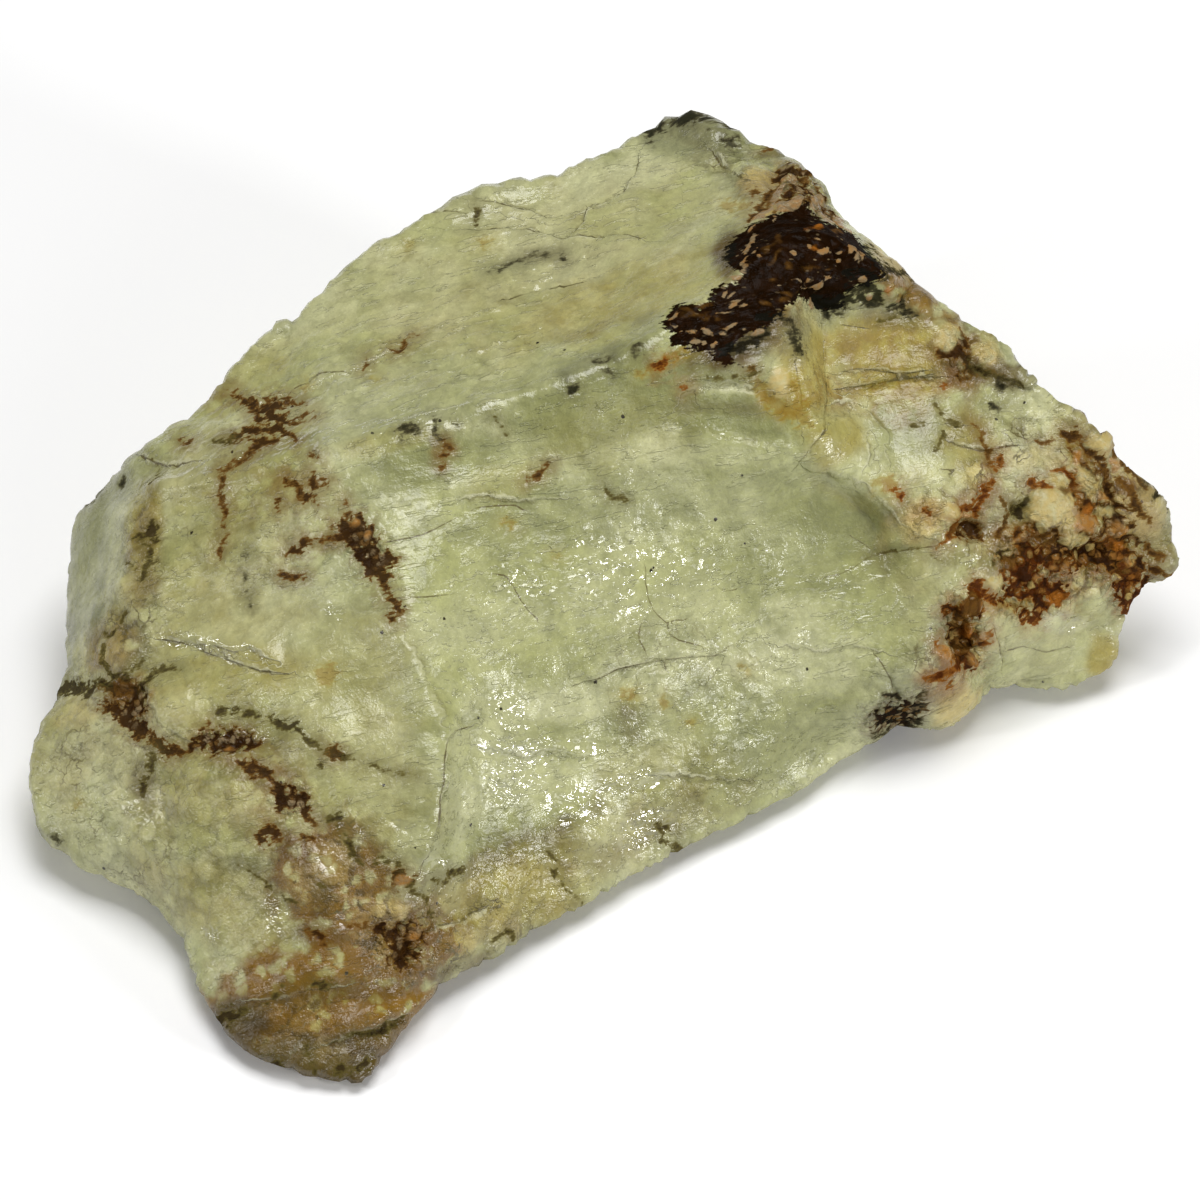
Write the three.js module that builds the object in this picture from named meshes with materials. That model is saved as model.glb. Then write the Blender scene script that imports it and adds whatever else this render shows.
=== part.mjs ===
// A rough lump of lemon chrysoprase: one broken stone, in millimetres, +Z up, lying on its flat underside.
//
// The stone is drawn as ground is surveyed, by points that carry a height above the table. Its show side
// faces forwards and up, so those points lie on a sheet that leans back at SHEET_SLOPE: "across" runs along
// +X and "up" climbs the sheet. Each point is [across, up, height]. Two skins hang on the sheet, the show
// skin in front and the hidden skin (back wall and underside) behind, and they meet along the rim.
import * as THREE from "three";
import { ImprovedNoise } from "three/addons/math/ImprovedNoise.js";
import { mergeVertices } from "three/addons/utils/BufferGeometryUtils.js";

const SHEET_SLOPE = THREE.MathUtils.degToRad(50); // how far down the line that meets the sheet squarely looks
const SHEET_HEIGHT = 25; // height at which the sheet's middle line crosses the stone
const SHOW_FACET = 4.3; // longest edge of a facet on the show skin and the rim
const LUMPY_FACET = 3.1; // the same on the nodular right end
const LUMPY_FROM = 41; // the nodular end starts this far along +X
const HIDDEN_FACET = 6; // the same on the back wall
const BASE_FACET = 12; // the same on the flat underside
const KEEN_ANGLE = THREE.MathUtils.degToRad(24); // a sharper fold is a fracture edge, and stays crisp
const RELAX_PASSES = 8; // rounds the swells between fracture edges
const RELAX_SHARE = 0.5; // how far a vertex moves towards its neighbours' mean in one pass
const SLIDE_SHARE = 0.12; // the same for a vertex that slides along a fracture edge
const SWELL = { size: 26, depth: 1, seed: 3.7 }; // long undulation of the broken faces
const CHATTER = { size: 8, depth: 0.5, seed: 8.1 }; // short undulation, as left by hammer blows
const ON_TABLE = 0.01; // below this height a vertex lies on the table
const SKIRT = 6; // over this height the roughness fades in above the table
const FULLY_FACED = 0.4; // how squarely a face looks out of the sheet, or back, to take that side's marks
const WELD = 1e-3; // vertices closer than this are one

const sin = Math.sin(SHEET_SLOPE);
const cos = Math.cos(SHEET_SLOPE);
const SHEET_NORMAL = new THREE.Vector3(0, -cos, sin);

// From a point over the sheet to the stone's own axes, and back from a place in plan to the sheet.
const place = ([across, up, height]) =>
  new THREE.Vector3(across, (up - (height - SHEET_HEIGHT) * cos) / sin, height);
const plan = (x, y, height) => [x, y * sin + (height - SHEET_HEIGHT) * cos, height];

// ---- The rim, clockwise from the left: where the show skin turns out of sight ----
const rim = [
  // left shoulder, up the long back edge
  [-67, -5, 12], [-66.8, 3, 14.5], [-66, 9, 17], [-63.5, 13, 20], [-60, 16.5, 22.5], [-55, 20.2, 26],
  [-50, 25, 29], [-47.2, 27.2, 30.5], [-45, 30.5, 31.5], [-41.4, 34.4, 33], [-38.6, 34.8, 34],
  [-35, 38.5, 35], [-30, 43, 36], [-25, 45.8, 37], [-20, 49, 38], [-16.8, 51.4, 38.5], [-13, 52.1, 39],
  [-9, 52.9, 39.5], [-5, 53.3, 40], [-1, 55.4, 40.5], [3, 56.8, 41], [7, 59.9, 41],
  // peak, and down the right shoulder
  [9.4, 60.4, 41.5], [13.2, 60.2, 42], [16, 58.5, 43], [19.6, 57.8, 43.5], [23.4, 56.2, 44], [26, 54.9, 44],
  [27.2, 52.3, 44.5], [28.6, 49.8, 45], [32.2, 46, 45], [36.5, 43, 44], [39.6, 39.9, 43.5],
  [42.4, 37.6, 43], [45.2, 35.3, 41.5], [50, 32.5, 39], [52.4, 29.2, 37.5], [57.5, 25, 34.5],
  [61.2, 22, 31.5], [63.8, 19.1, 29], [68.6, 14.8, 24.5], [71.2, 11.8, 21], [72.3, 8.6, 18],
  [71.9, 4.4, 14.5], [68.6, 2, 12], [67.4, -0.9, 10.5], [65, -1.3, 10],
  // right toe, and along the front foot
  [64.3, -7.6, 5], [61.8, -9.9, 3.5], [57, -10.9, 3], [52, -10.2, 3], [48.6, -10.5, 3.5],
  [46.4, -13, 3.5], [43, -15.4, 3], [37, -15.9, 3], [33.6, -18.2, 3], [30, -19.8, 3], [25, -23.8, 3],
  [18, -27.1, 3], [9, -31.5, 3], [0, -36.2, 3], [-8, -41.2, 3], [-14.5, -45.3, 3], [-20, -47.9, 3.5],
  [-23, -51.7, 3], [-27.3, -56.6, 2.5],
  // tip of the foot, and back round the bay to the left
  [-29, -59.7, 2], [-31.4, -59.6, 2], [-35, -58.8, 2.5], [-38.4, -58.6, 2.5], [-41.8, -57.1, 3],
  [-45.6, -54.7, 3], [-48.2, -51, 3.5], [-50, -46.8, 4], [-51.6, -42, 4.5], [-54, -38.8, 4.5],
  [-58, -36, 4], [-62.4, -34.6, 4], [-66.2, -32.6, 5], [-69, -30, 6], [-71.3, -27, 7.5],
  [-71.4, -21, 9.5], [-70.5, -16.5, 11.5], [-68, -12.6, 13], [-66.7, -8.4, 13.5],
];

// ---- The show skin ----
// Crest between the upper face and the front face.
const crest = [
  [-55.6, 15, 31], [-50, 15.8, 34], [-45, 16.6, 36.5], [-39, 18.2, 39.3], [-33, 19.6, 41.8],
  [-26, 20.7, 43.8], [-19, 22.8, 45.8], [-12, 24.8, 47.3], [-5, 27.2, 48.8], [1, 29.3, 50],
  [6, 31.4, 51], [9, 34.2, 52],
];

// Edge that parts the steep left side from the front.
const leftEdge = [
  [-57, 10.5, 29.5], [-58, 5, 27], [-60.4, 0.4, 24], [-63.3, -4, 20], [-65, -7, 17],
];

// The upper face leans back a little and is dished along its middle.
const upperFace = [
  [-51, 20, 31.5], [-42, 24.5, 36.5], [-38, 29.5, 36.2], [-31, 27, 40], [-28, 36, 38.2],
  [-20, 32, 42], [-18, 42, 39.6], [-9, 35, 43.6], [-9, 46, 40.6], [0, 38.5, 44.8], [1, 49, 42.2],
  [4, 34.5, 48.6], [8, 43.5, 46], [9, 53.5, 43.4], [13.5, 48.5, 46.6], [17, 54, 45.2],
  [12.5, 39.5, 49.6], [-30, 21.8, 42.4], [-15, 26.6, 46],
];

// The dark matrix stands up as a hump behind the notch.
const hump = [
  [14, 37.6, 53], [19, 41.6, 54], [23.6, 46, 53.5], [24.2, 49.6, 49.5], [28.4, 45, 53],
  [32, 42.6, 51.5], [36, 40.4, 48.6], [40, 38.2, 45.6], [12, 31.8, 49.6], [17, 31, 48.6],
  [20.6, 34.6, 50.6], [24.5, 40.5, 52.4], [30, 39.2, 48.8], [35, 38.4, 46],
];

// The notch: a steep wall that faces right, then a flat floor.
const notchWallTop = [
  [22.6, 36.6, 51], [23.6, 32.6, 48.8], [24.8, 28.6, 46.6], [26, 24.6, 44.2], [27.4, 21, 41],
];
const notchWallFoot = [
  [27, 36.4, 45.6], [27.6, 32.4, 42.8], [27.7, 28, 40], [28.3, 23.6, 38.4],
];
const notchFloor = [
  [31.5, 36.6, 44.6], [37, 36.8, 44.2], [41.4, 35.4, 43.4], [31, 31.6, 41.6], [37, 32, 41.4],
  [42.6, 31, 40.8], [31.4, 27.2, 38.6], [37.4, 27.6, 38.6], [42.6, 28.2, 39],
];

// Ledge that stands over the hollow in the front face, and the foot of its step.
const ledgeTop = [
  [24.8, 17.4, 37.4], [28.6, 16.4, 36.4], [31.8, 15, 35.2], [35, 12.8, 33.4], [37.8, 9.6, 31.2],
  [39.8, 6, 28.6], [40.2, 1.4, 25.2], [40.4, -3, 21.8], [39.2, -8, 17.8], [35.6, -12.2, 13.4],
];
const ledgeFoot = [
  [28.4, 14.6, 34], [31.6, 12.8, 31.4], [34.6, 10.2, 28.4], [36.8, 7.4, 26], [38.2, 3.6, 24.2],
  [38.4, -1, 21.4], [38, -5, 18.6],
];

// The front face: full near the crest, scooped below the ledge, swelling again towards its foot.
const frontFace = [
  [5, 25.4, 46.6], [12, 26.4, 46.8], [18, 26.6, 46.4], [22, 23.4, 44], [-3, 21.6, 45], [4, 19, 42.6],
  [11.5, 21.8, 43.6], [13, 18.8, 41], [20, 18.8, 40.6], [-12, 18.6, 43.2], [-20, 15, 41.4],
  [-11, 11, 38.6], [-2, 12, 38.4], [7, 12.4, 37], [16, 11.6, 34], [24, 9, 29.6], [31, 7, 26.2],
  [-20, 5, 37.2], [-13, 2, 34.2], [-5, 3.4, 32.8], [4, 4, 31.2], [12, 3, 28.6], [20, 1.6, 25.6],
  [30, 0, 22.6], [-15.6, -6, 31], [-8, -5.4, 28.8], [1, -5.6, 26.4], [9, -6.2, 24.6],
  [18, -6.4, 21.8], [27, -7, 18.8], [33, -8, 16.6], [-12, -12.6, 25.6], [-4, -13.6, 22.4],
  [5, -14, 19.6], [14, -14.6, 16.4], [23, -14.6, 13], [30, -14, 11.2], [-13, -21, 20.6],
  [-5, -21.6, 17.4], [4, -22.4, 13.8], [13, -22.4, 10.4], [21, -20.6, 8.6], [-15, -30, 15.4],
  [-7, -30.4, 12.4], [1, -29.6, 9.8], [-17, -38.2, 11.2], [-9, -36.6, 8.4], [-20.4, -43, 8.6],
];

// Step down from the lobe on the left to the front face.
const lobeEdgeTop = [
  [-25, -1, 36], [-22.8, -7, 33.2], [-20.6, -13, 29.8], [-19.4, -17.4, 27.4], [-19.3, -22.4, 24.8],
  [-20.2, -28, 21.6], [-22, -32.6, 18.6],
];
const lobeEdgeFoot = [
  [-21.2, -6.4, 32.4], [-19.2, -11.8, 29.2], [-17.8, -16.6, 25.8], [-17.9, -22.6, 22.4],
  [-18.8, -28.2, 19.2], [-20.4, -33.2, 16.6],
];

// The lobe: the full, bulging left end, drawn out into a foot.
const lobe = [
  [-50, 10, 32.4], [-42, 11.4, 36], [-34, 13, 39], [-27, 12, 40.2], [-52, 4, 29.4], [-44, 4.4, 32.6],
  [-36, 5.4, 35.6], [-28.6, 4, 37], [-55, -3, 25.2], [-47, -3, 28.4], [-39, -2.6, 31.4],
  [-31, -4, 33.4], [-58.6, -9, 21], [-51, -10, 24.4], [-43, -9.4, 27.8], [-35, -10.4, 30],
  [-27, -11.4, 31], [-64, -13, 16.4], [-57, -16.4, 19], [-49, -17.4, 21.8], [-41, -16.6, 25.2],
  [-33, -17.6, 27], [-26, -18, 27.4], [-67, -20.6, 12.6], [-60, -23.4, 15], [-52, -24.6, 18],
  [-44, -24, 21.6], [-36, -24.6, 23.4], [-28, -25.4, 23.8], [-66, -27, 9.6], [-59, -29.8, 11.4],
  [-52, -31.6, 13.8], [-44, -31.4, 17.4], [-36, -32.2, 19], [-28.6, -32.6, 19], [-54.6, -35, 8.4],
  [-48, -38, 11], [-41, -39, 13.6], [-33, -40, 14.6], [-26, -39.6, 14.2], [-46.6, -45, 8.4],
  [-39, -46.6, 10.6], [-31, -47.6, 10.6], [-25, -47, 8.8], [-42, -52.4, 6.2], [-35, -53.6, 6.6],
  [-29.6, -54, 6],
];

// The lumpy right end, and the clean green toe under it.
const rightEnd = [
  [45.4, 31.6, 40.6], [49.6, 28.6, 38.6], [54, 24.6, 35.6], [33, 22.6, 36.8], [38.6, 23.6, 37],
  [44, 23.6, 36.6], [49.6, 22, 34.4], [57, 19, 31], [31.6, 18.6, 36.6], [37.6, 17.4, 34.8],
  [43, 15.6, 32.6], [50, 15.4, 30.8], [56, 12.6, 27.8], [62.4, 13, 26.4], [67, 9.6, 20.6],
  [45, 9.6, 29.6], [51, 8.4, 26.8], [57, 6, 23.4], [63, 6, 20.2], [68, 5, 15.8], [45, 3.6, 25.6],
  [51, 1.8, 21.6], [57, 0.6, 18], [62.4, 1, 14.6], [44.6, -2.4, 20.8], [49.6, -4, 15.8],
  [55.6, -4.6, 11.8], [60.6, -5, 9], [43.6, -8, 15.6], [47.6, -7.6, 10.8], [41.6, -12, 9.4],
  [38, -11.6, 13],
];

// The left side, steep and in shade.
const leftSide = [[-61.6, 11.6, 24], [-62.4, 5, 21.4], [-64.4, -1, 17.6]];

// ---- The hidden skin, placed in plan ----
const underside = [
  [-60, -20], [-53, -31], [-45, -46], [-38, -52.4], [-31.5, -53], [-25, -45], [-14, -32.6],
  [0, -21.6], [16, -11], [31, -1.6], [44, 7.4], [57, 10.6], [60, 16.4], [53, 25], [44, 29],
  [36, 37], [27, 45], [14, 53], [4, 50], [-10, 48.6], [-22, 44], [-33, 37], [-42, 30], [-50, 20],
  [-57, 9], [-61, -6],
  [-42, -12], [-25, 10], [0, 18], [26, 18], [0, 38], [-34, -34],
].map(([x, y]) => plan(x, y, 0));
const backWall = [
  [-64, 6, 7], [-60.6, 19, 12], [-53, 28, 17], [-54, 22, 6.5], [-44, 36.6, 22], [-45, 31, 9], [-34, 45, 20],
  [-29, 43.6, 9], [-24, 51.6, 27], [-13, 53.6, 15], [-7, 58.6, 29], [3, 58.4, 17], [9, 62.4, 30],
  [16, 60, 18], [15, 55.6, 8], [24, 56.4, 30], [27, 50.6, 16], [33, 46.6, 31], [38, 40.6, 20],
  [45, 34.4, 10], [47, 33.4, 27], [53, 29.4, 20], [60, 22.6, 20], [61, 20.6, 9], [67, 17.6, 12],
].map(([x, y, height]) => plan(x, y, height));
const footChips = [
  [62.4, 15, 5], [20, -13.6, 1.4], [-8, -31, 1.4], [-66, -17, 3.6], [-64, -8, 4.4],
].map(([x, y, height]) => plan(x, y, height));

// ---- Flake scars, pits and lumps ----
// On the show skin: [across, up, radius, depth]. A scar or pit goes in, a lump's depth is negative.
const showMarks = [
  // upper face
  [-40, 27, 12, 0.9], [-24, 35, 15, 1.1], [-6, 44, 14, 1], [6, 51, 10, 0.8], [-9, 33, 13, 0.8],
  // front face, from the crest down
  [18, 23.6, 8, 0.9], [6, 17, 12, 0.8], [-9, 12, 13, 0.9], [10, 4, 13, 0.9], [28, 6, 13, 1],
  [-8, -1, 12, 0.8], [20, -9, 12, 0.9], [2, -8, 11, 0.8], [-10, -16, 10, 0.9], [6, -21, 12, 0.9],
  [-12, -29, 11, 1], [-14, -38, 8, 0.8], [25, -17, 9, 0.8],
  // lobe
  [-49, 9, 9, 0.7], [-38, 0, 11, 0.8], [-52, -6, 9, 0.6], [-29, -10, 10, 0.8], [-45, -12, 9, 0.6],
  [-60, -22, 10, 0.8], [-31, -25, 10, 0.9], [-41, -40, 10, 1], [-30, -42, 8, 0.8], [-36, -53, 8, 0.8],
  [-52, -14, 5, -0.7], [-48, -25, 7, -0.8], [-60, -7, 4, -0.7], [-37, -35, 5, -0.8], [-64, -17, 6, -0.6],
  // right end: hollows, then nodules and the pits between them
  [35, 21, 8, 0.8], [50, 25, 9, 0.8], [57, -5, 9, 0.7],
  [57, 11.5, 5, -1], [50, 13, 4, -0.8], [60, 18.5, 4.5, -0.8], [66.5, 12, 4.5, -0.8], [47.5, 5.5, 4, -0.8],
  [60.5, 8.6, 3.4, -0.9], [43.5, 13.6, 4, -0.7], [53, 5, 3.5, -0.8], [61.5, 1.6, 4.5, -0.9],
  [69.5, 6.5, 3.5, -0.7], [64.8, 5, 3.2, -0.8], [47.8, -1, 3, -0.9], [50.4, 19.4, 4.5, -0.7],
  [44.4, -3.6, 3.6, 2.2], [46, 8.8, 2.8, 1.4], [52.4, 10.6, 2.4, 1], [62, 5.6, 3, 1.2],
];

// On the back wall, placed in plan: [x, y, z, radius, depth].
const backMarks = [
  [-64, 12, 12, 14, 2], [-50, 33, 18, 17, 3.2], [-30, 47, 13, 18, 3.6], [-12, 56, 27, 16, 3],
  [3, 60, 12, 17, 3.8], [20, 58, 30, 14, 2.6], [32, 47, 12, 17, 3.4], [45, 36, 26, 15, 2.8],
  [57, 26, 12, 14, 2.6], [66, 16, 20, 9, 1.4], [-40, 42, 27, 10, 1.8], [-18, 50, 7, 13, 2.4],
];

const showPoints = [
  crest, leftEdge, upperFace, hump, notchWallTop, notchWallFoot, notchFloor, ledgeTop, ledgeFoot,
  frontFace, lobeEdgeTop, lobeEdgeFoot, lobe, rightEnd, leftSide,
].flat();
const hiddenPoints = [underside, backWall, footChips].flat();

// ---- Triangles over the sheet ----
// Bowyer-Watson: each point removes the triangles whose circle holds it and fans into the hole they leave.
function delaunay(points) {
  const far = 1000;
  const all = [...points, [-far, -far], [far, -far], [0, far]];
  const n = points.length;
  const withCircle = (a, b, c) => {
    const [ax, ay] = all[a];
    const [bx, by] = [all[b][0] - ax, all[b][1] - ay];
    const [cx, cy] = [all[c][0] - ax, all[c][1] - ay];
    const d = 2 * (bx * cy - by * cx);
    const x = (cy * (bx * bx + by * by) - by * (cx * cx + cy * cy)) / d;
    const y = (bx * (cx * cx + cy * cy) - cx * (bx * bx + by * by)) / d;
    return { corners: [a, b, c], x: ax + x, y: ay + y, r2: x * x + y * y };
  };
  let triangles = [withCircle(n, n + 1, n + 2)];
  for (let i = 0; i < n; i++) {
    const [x, y] = all[i];
    const edges = new Map();
    triangles = triangles.filter((t) => {
      if ((x - t.x) ** 2 + (y - t.y) ** 2 > t.r2) return true;
      t.corners.forEach((a, k) => {
        const b = t.corners[(k + 1) % 3];
        if (!edges.delete(`${b},${a}`)) edges.set(`${a},${b}`, [a, b]);
      });
      return false;
    });
    for (const [a, b] of edges.values()) triangles.push(withCircle(a, b, i));
  }
  return triangles.map((t) => t.corners).filter((c) => Math.max(...c) < n);
}

function insideRim([x, y]) {
  let inside = false;
  rim.forEach(([ax, ay], i) => {
    const [bx, by] = rim[(i + 1) % rim.length];
    if (ay > y !== by > y && x < ax + ((bx - ax) * (y - ay)) / (by - ay)) inside = !inside;
  });
  return inside;
}

// The corners, three at a time, of one skin's triangles. The hidden skin faces the other way.
function skin(inner, hidden) {
  const points = [...rim, ...inner];
  const centre = (corners) => [0, 1].map((k) => corners.reduce((sum, i) => sum + points[i][k], 0) / 3);
  return delaunay(points)
    .filter((corners) => insideRim(centre(corners)))
    .flatMap((corners) => (hidden ? corners.toReversed() : corners))
    .map((i) => Object.assign(place(points[i]), { onRim: i < rim.length }));
}

// ---- Facets ----
// The longest that an edge from a to b may be. It hangs on the edge alone, so both triangles that share an
// edge split it alike.
function showLimit(a, b) {
  return Math.min(a.x, b.x) > LUMPY_FROM ? LUMPY_FACET : SHOW_FACET;
}
function hiddenLimit(a, b) {
  if (a.onRim && b.onRim) return showLimit(a, b);
  return Math.max(a.z, b.z) < ON_TABLE ? BASE_FACET : HIDDEN_FACET;
}

// Halves each triangle across its longest edge until no edge is over its limit.
function facet(corners, limit) {
  const done = [];
  const todo = [];
  for (let i = 0; i < corners.length; i += 3) todo.push(corners.slice(i, i + 3));
  while (todo.length) {
    const t = todo.pop();
    const excess = t.map((a, k) => a.distanceTo(t[(k + 1) % 3]) / limit(a, t[(k + 1) % 3]));
    const k = excess.indexOf(Math.max(...excess));
    if (excess[k] <= 1) {
      done.push(...t);
      continue;
    }
    const [a, b, c] = [t[k], t[(k + 1) % 3], t[(k + 2) % 3]];
    const middle = Object.assign(a.clone().lerp(b, 0.5), { onRim: a.onRim && b.onRim });
    todo.push([a, middle, c], [middle, b, c]);
  }
  return done;
}

// Each vertex's neighbours, and those of them that it meets along a fracture edge.
function neighbourhood(geometry) {
  const { index, attributes } = geometry;
  const point = (i) => new THREE.Vector3().fromBufferAttribute(attributes.position, i);
  const near = Array.from({ length: attributes.position.count }, () => new Set());
  const keen = Array.from({ length: attributes.position.count }, () => new Set());
  const firstFace = new Map();
  for (let i = 0; i < index.count; i += 3) {
    const t = [0, 1, 2].map((k) => index.getX(i + k));
    const normal = new THREE.Triangle(...t.map(point)).getNormal(new THREE.Vector3());
    t.forEach((a, k) => {
      const b = t[(k + 1) % 3];
      near[a].add(b);
      near[b].add(a);
      const key = `${Math.min(a, b)},${Math.max(a, b)}`;
      if (firstFace.has(key) && firstFace.get(key).angleTo(normal) > KEEN_ANGLE) {
        keen[a].add(b);
        keen[b].add(a);
      }
      firstFace.set(key, normal);
    });
  }
  return { near, keen };
}

// Rounds the ground between fracture edges. A vertex on such an edge only slides along it, and a vertex
// where several of them meet stays.
function relax(geometry) {
  const { near, keen } = neighbourhood(geometry);
  const position = geometry.attributes.position;
  for (let pass = 0; pass < RELAX_PASSES; pass++) {
    const old = position.clone();
    near.forEach((around, i) => {
      if (keen[i].size > 2) return;
      const [others, share] = keen[i].size === 2 ? [keen[i], SLIDE_SHARE] : [around, RELAX_SHARE];
      const mean = new THREE.Vector3();
      for (const j of others) mean.add(new THREE.Vector3().fromBufferAttribute(old, j));
      mean.divideScalar(others.size);
      const here = new THREE.Vector3().fromBufferAttribute(old, i).lerp(mean, share);
      position.setXYZ(i, here.x, here.y, here.z);
    });
  }
}

// How far the scars and lumps take the surface in at p, where it faces along n. Each is a shallow bowl with
// a crisp edge. Where scars overlap the deepest one wins, which leaves a ridge between them.
function relief(p, n) {
  const [across, up] = plan(p.x, p.y, p.z);
  const shown = THREE.MathUtils.smoothstep(n.dot(SHEET_NORMAL), 0, FULLY_FACED);
  const hidden = THREE.MathUtils.smoothstep(-n.dot(SHEET_NORMAL), 0, FULLY_FACED);
  const bowl = (distance, radius, depth) => depth * Math.max(0, 1 - (distance / radius) ** 2);
  const depths = [
    ...showMarks.map(([u, v, radius, depth]) => shown * bowl(Math.hypot(across - u, up - v), radius, depth)),
    ...backMarks.map(([x, y, z, radius, depth]) =>
      hidden * bowl(Math.hypot(p.x - x, p.y - y, p.z - z), radius, depth)),
  ];
  return Math.max(0, ...depths) + Math.min(0, ...depths);
}

// Scars, lumps, swells and hammer chatter, square to the surface. The contact with the table is left flat.
function roughen(geometry) {
  const noise = new ImprovedNoise();
  geometry.computeVertexNormals();
  const { position, normal } = geometry.attributes;
  for (let i = 0; i < position.count; i++) {
    const p = new THREE.Vector3().fromBufferAttribute(position, i);
    const n = new THREE.Vector3().fromBufferAttribute(normal, i);
    const wave = ({ size, depth, seed }) => depth * noise.noise(p.x / size + seed, p.y / size, p.z / size);
    const offTable = THREE.MathUtils.smoothstep(p.z, ON_TABLE, SKIRT);
    p.addScaledVector(n, (wave(SWELL) + wave(CHATTER) - relief(p, n)) * offTable);
    position.setXYZ(i, p.x, p.y, Math.max(p.z, 0));
  }
}

// The origin is under the middle of the stone, on the table.
function settle(geometry) {
  geometry.computeBoundingBox();
  const { min, max } = geometry.boundingBox;
  geometry.translate(-(min.x + max.x) / 2, -(min.y + max.y) / 2, -min.z);
  geometry.computeVertexNormals();
}

const showCorners = facet(skin(showPoints, false), showLimit);
const hiddenCorners = facet(skin(hiddenPoints, true), hiddenLimit);
const soup = new THREE.BufferGeometry().setFromPoints([...showCorners, ...hiddenCorners]);
const geometry = mergeVertices(soup, WELD);
relax(geometry);
roughen(geometry);
settle(geometry);

const stone = new THREE.Mesh(
  geometry,
  new THREE.MeshStandardMaterial({ color: 0xaaa67c, roughness: 0.42, metalness: 0 }),
);
stone.name = "stone";

const part = new THREE.Group();
part.add(stone);
export default part;
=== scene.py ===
"""A raw lemon chrysoprase: one broken lump of pale lemon-green magnesite and chalcedony, 143 mm long.

The stone stands on its flat base and leans its broken show side towards the front. Its shape comes from
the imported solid. This script breaks the surface up into scales, chipped steps, nodules and pebbles, stains
it with its iron and manganese minerals, and sets it in plain studio light.
"""

import math

import bmesh
import bpy
import numpy as np
from bpy.props import FloatProperty, FloatVectorProperty, IntProperty, PointerProperty
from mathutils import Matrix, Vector, noise


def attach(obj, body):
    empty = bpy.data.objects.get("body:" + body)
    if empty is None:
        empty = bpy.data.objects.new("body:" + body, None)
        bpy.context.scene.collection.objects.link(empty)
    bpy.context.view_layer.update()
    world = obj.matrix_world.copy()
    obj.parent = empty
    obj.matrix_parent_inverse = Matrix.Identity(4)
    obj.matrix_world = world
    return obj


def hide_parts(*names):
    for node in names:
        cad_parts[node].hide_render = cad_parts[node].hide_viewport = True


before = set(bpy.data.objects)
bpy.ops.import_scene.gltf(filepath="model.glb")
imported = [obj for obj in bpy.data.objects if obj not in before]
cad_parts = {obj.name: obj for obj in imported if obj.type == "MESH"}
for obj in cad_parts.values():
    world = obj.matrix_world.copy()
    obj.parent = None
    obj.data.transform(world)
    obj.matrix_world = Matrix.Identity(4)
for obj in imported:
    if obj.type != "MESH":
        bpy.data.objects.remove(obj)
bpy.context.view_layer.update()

bl_info = {
    "name": "Raw lemon chrysoprase",
    "version": (1, 0, 0),
    "blender": (4, 5, 0),
    "location": "View3D > Sidebar > Stone",
    "description": "Breaks up, stains and lights a raw lump of lemon chrysoprase",
    "category": "Add Mesh",
}

MM = 0.001

# The show side leans back as a sheet. Marks are laid out on that sheet in millimetres: across to the right
# and up the slope, from a point at the middle of the show side.
SHEET_SLOPE = math.radians(50)
SHEET_MIDDLE = (-0.42, -3.13, 25.0)
SHEET_ACROSS = np.array((1.0, 0.0, 0.0))
SHEET_UP = np.array((0.0, math.sin(SHEET_SLOPE), math.cos(SHEET_SLOPE)))
SHEET_OUT = np.array((0.0, -math.cos(SHEET_SLOPE), math.sin(SHEET_SLOPE)))

# The flake scars' scales lie along these directions, in degrees above level: above the crest and in front.
UPPER_STREAK = 18.0
FRONT_STREAK = 6.0

# So far from a mark, in millimetres, that it leaves nothing there.
FAR = 9.0
# Below this height, in millimetres, the skin is neither halved nor rubbed.
BASE_EDGE = 0.5

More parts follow.
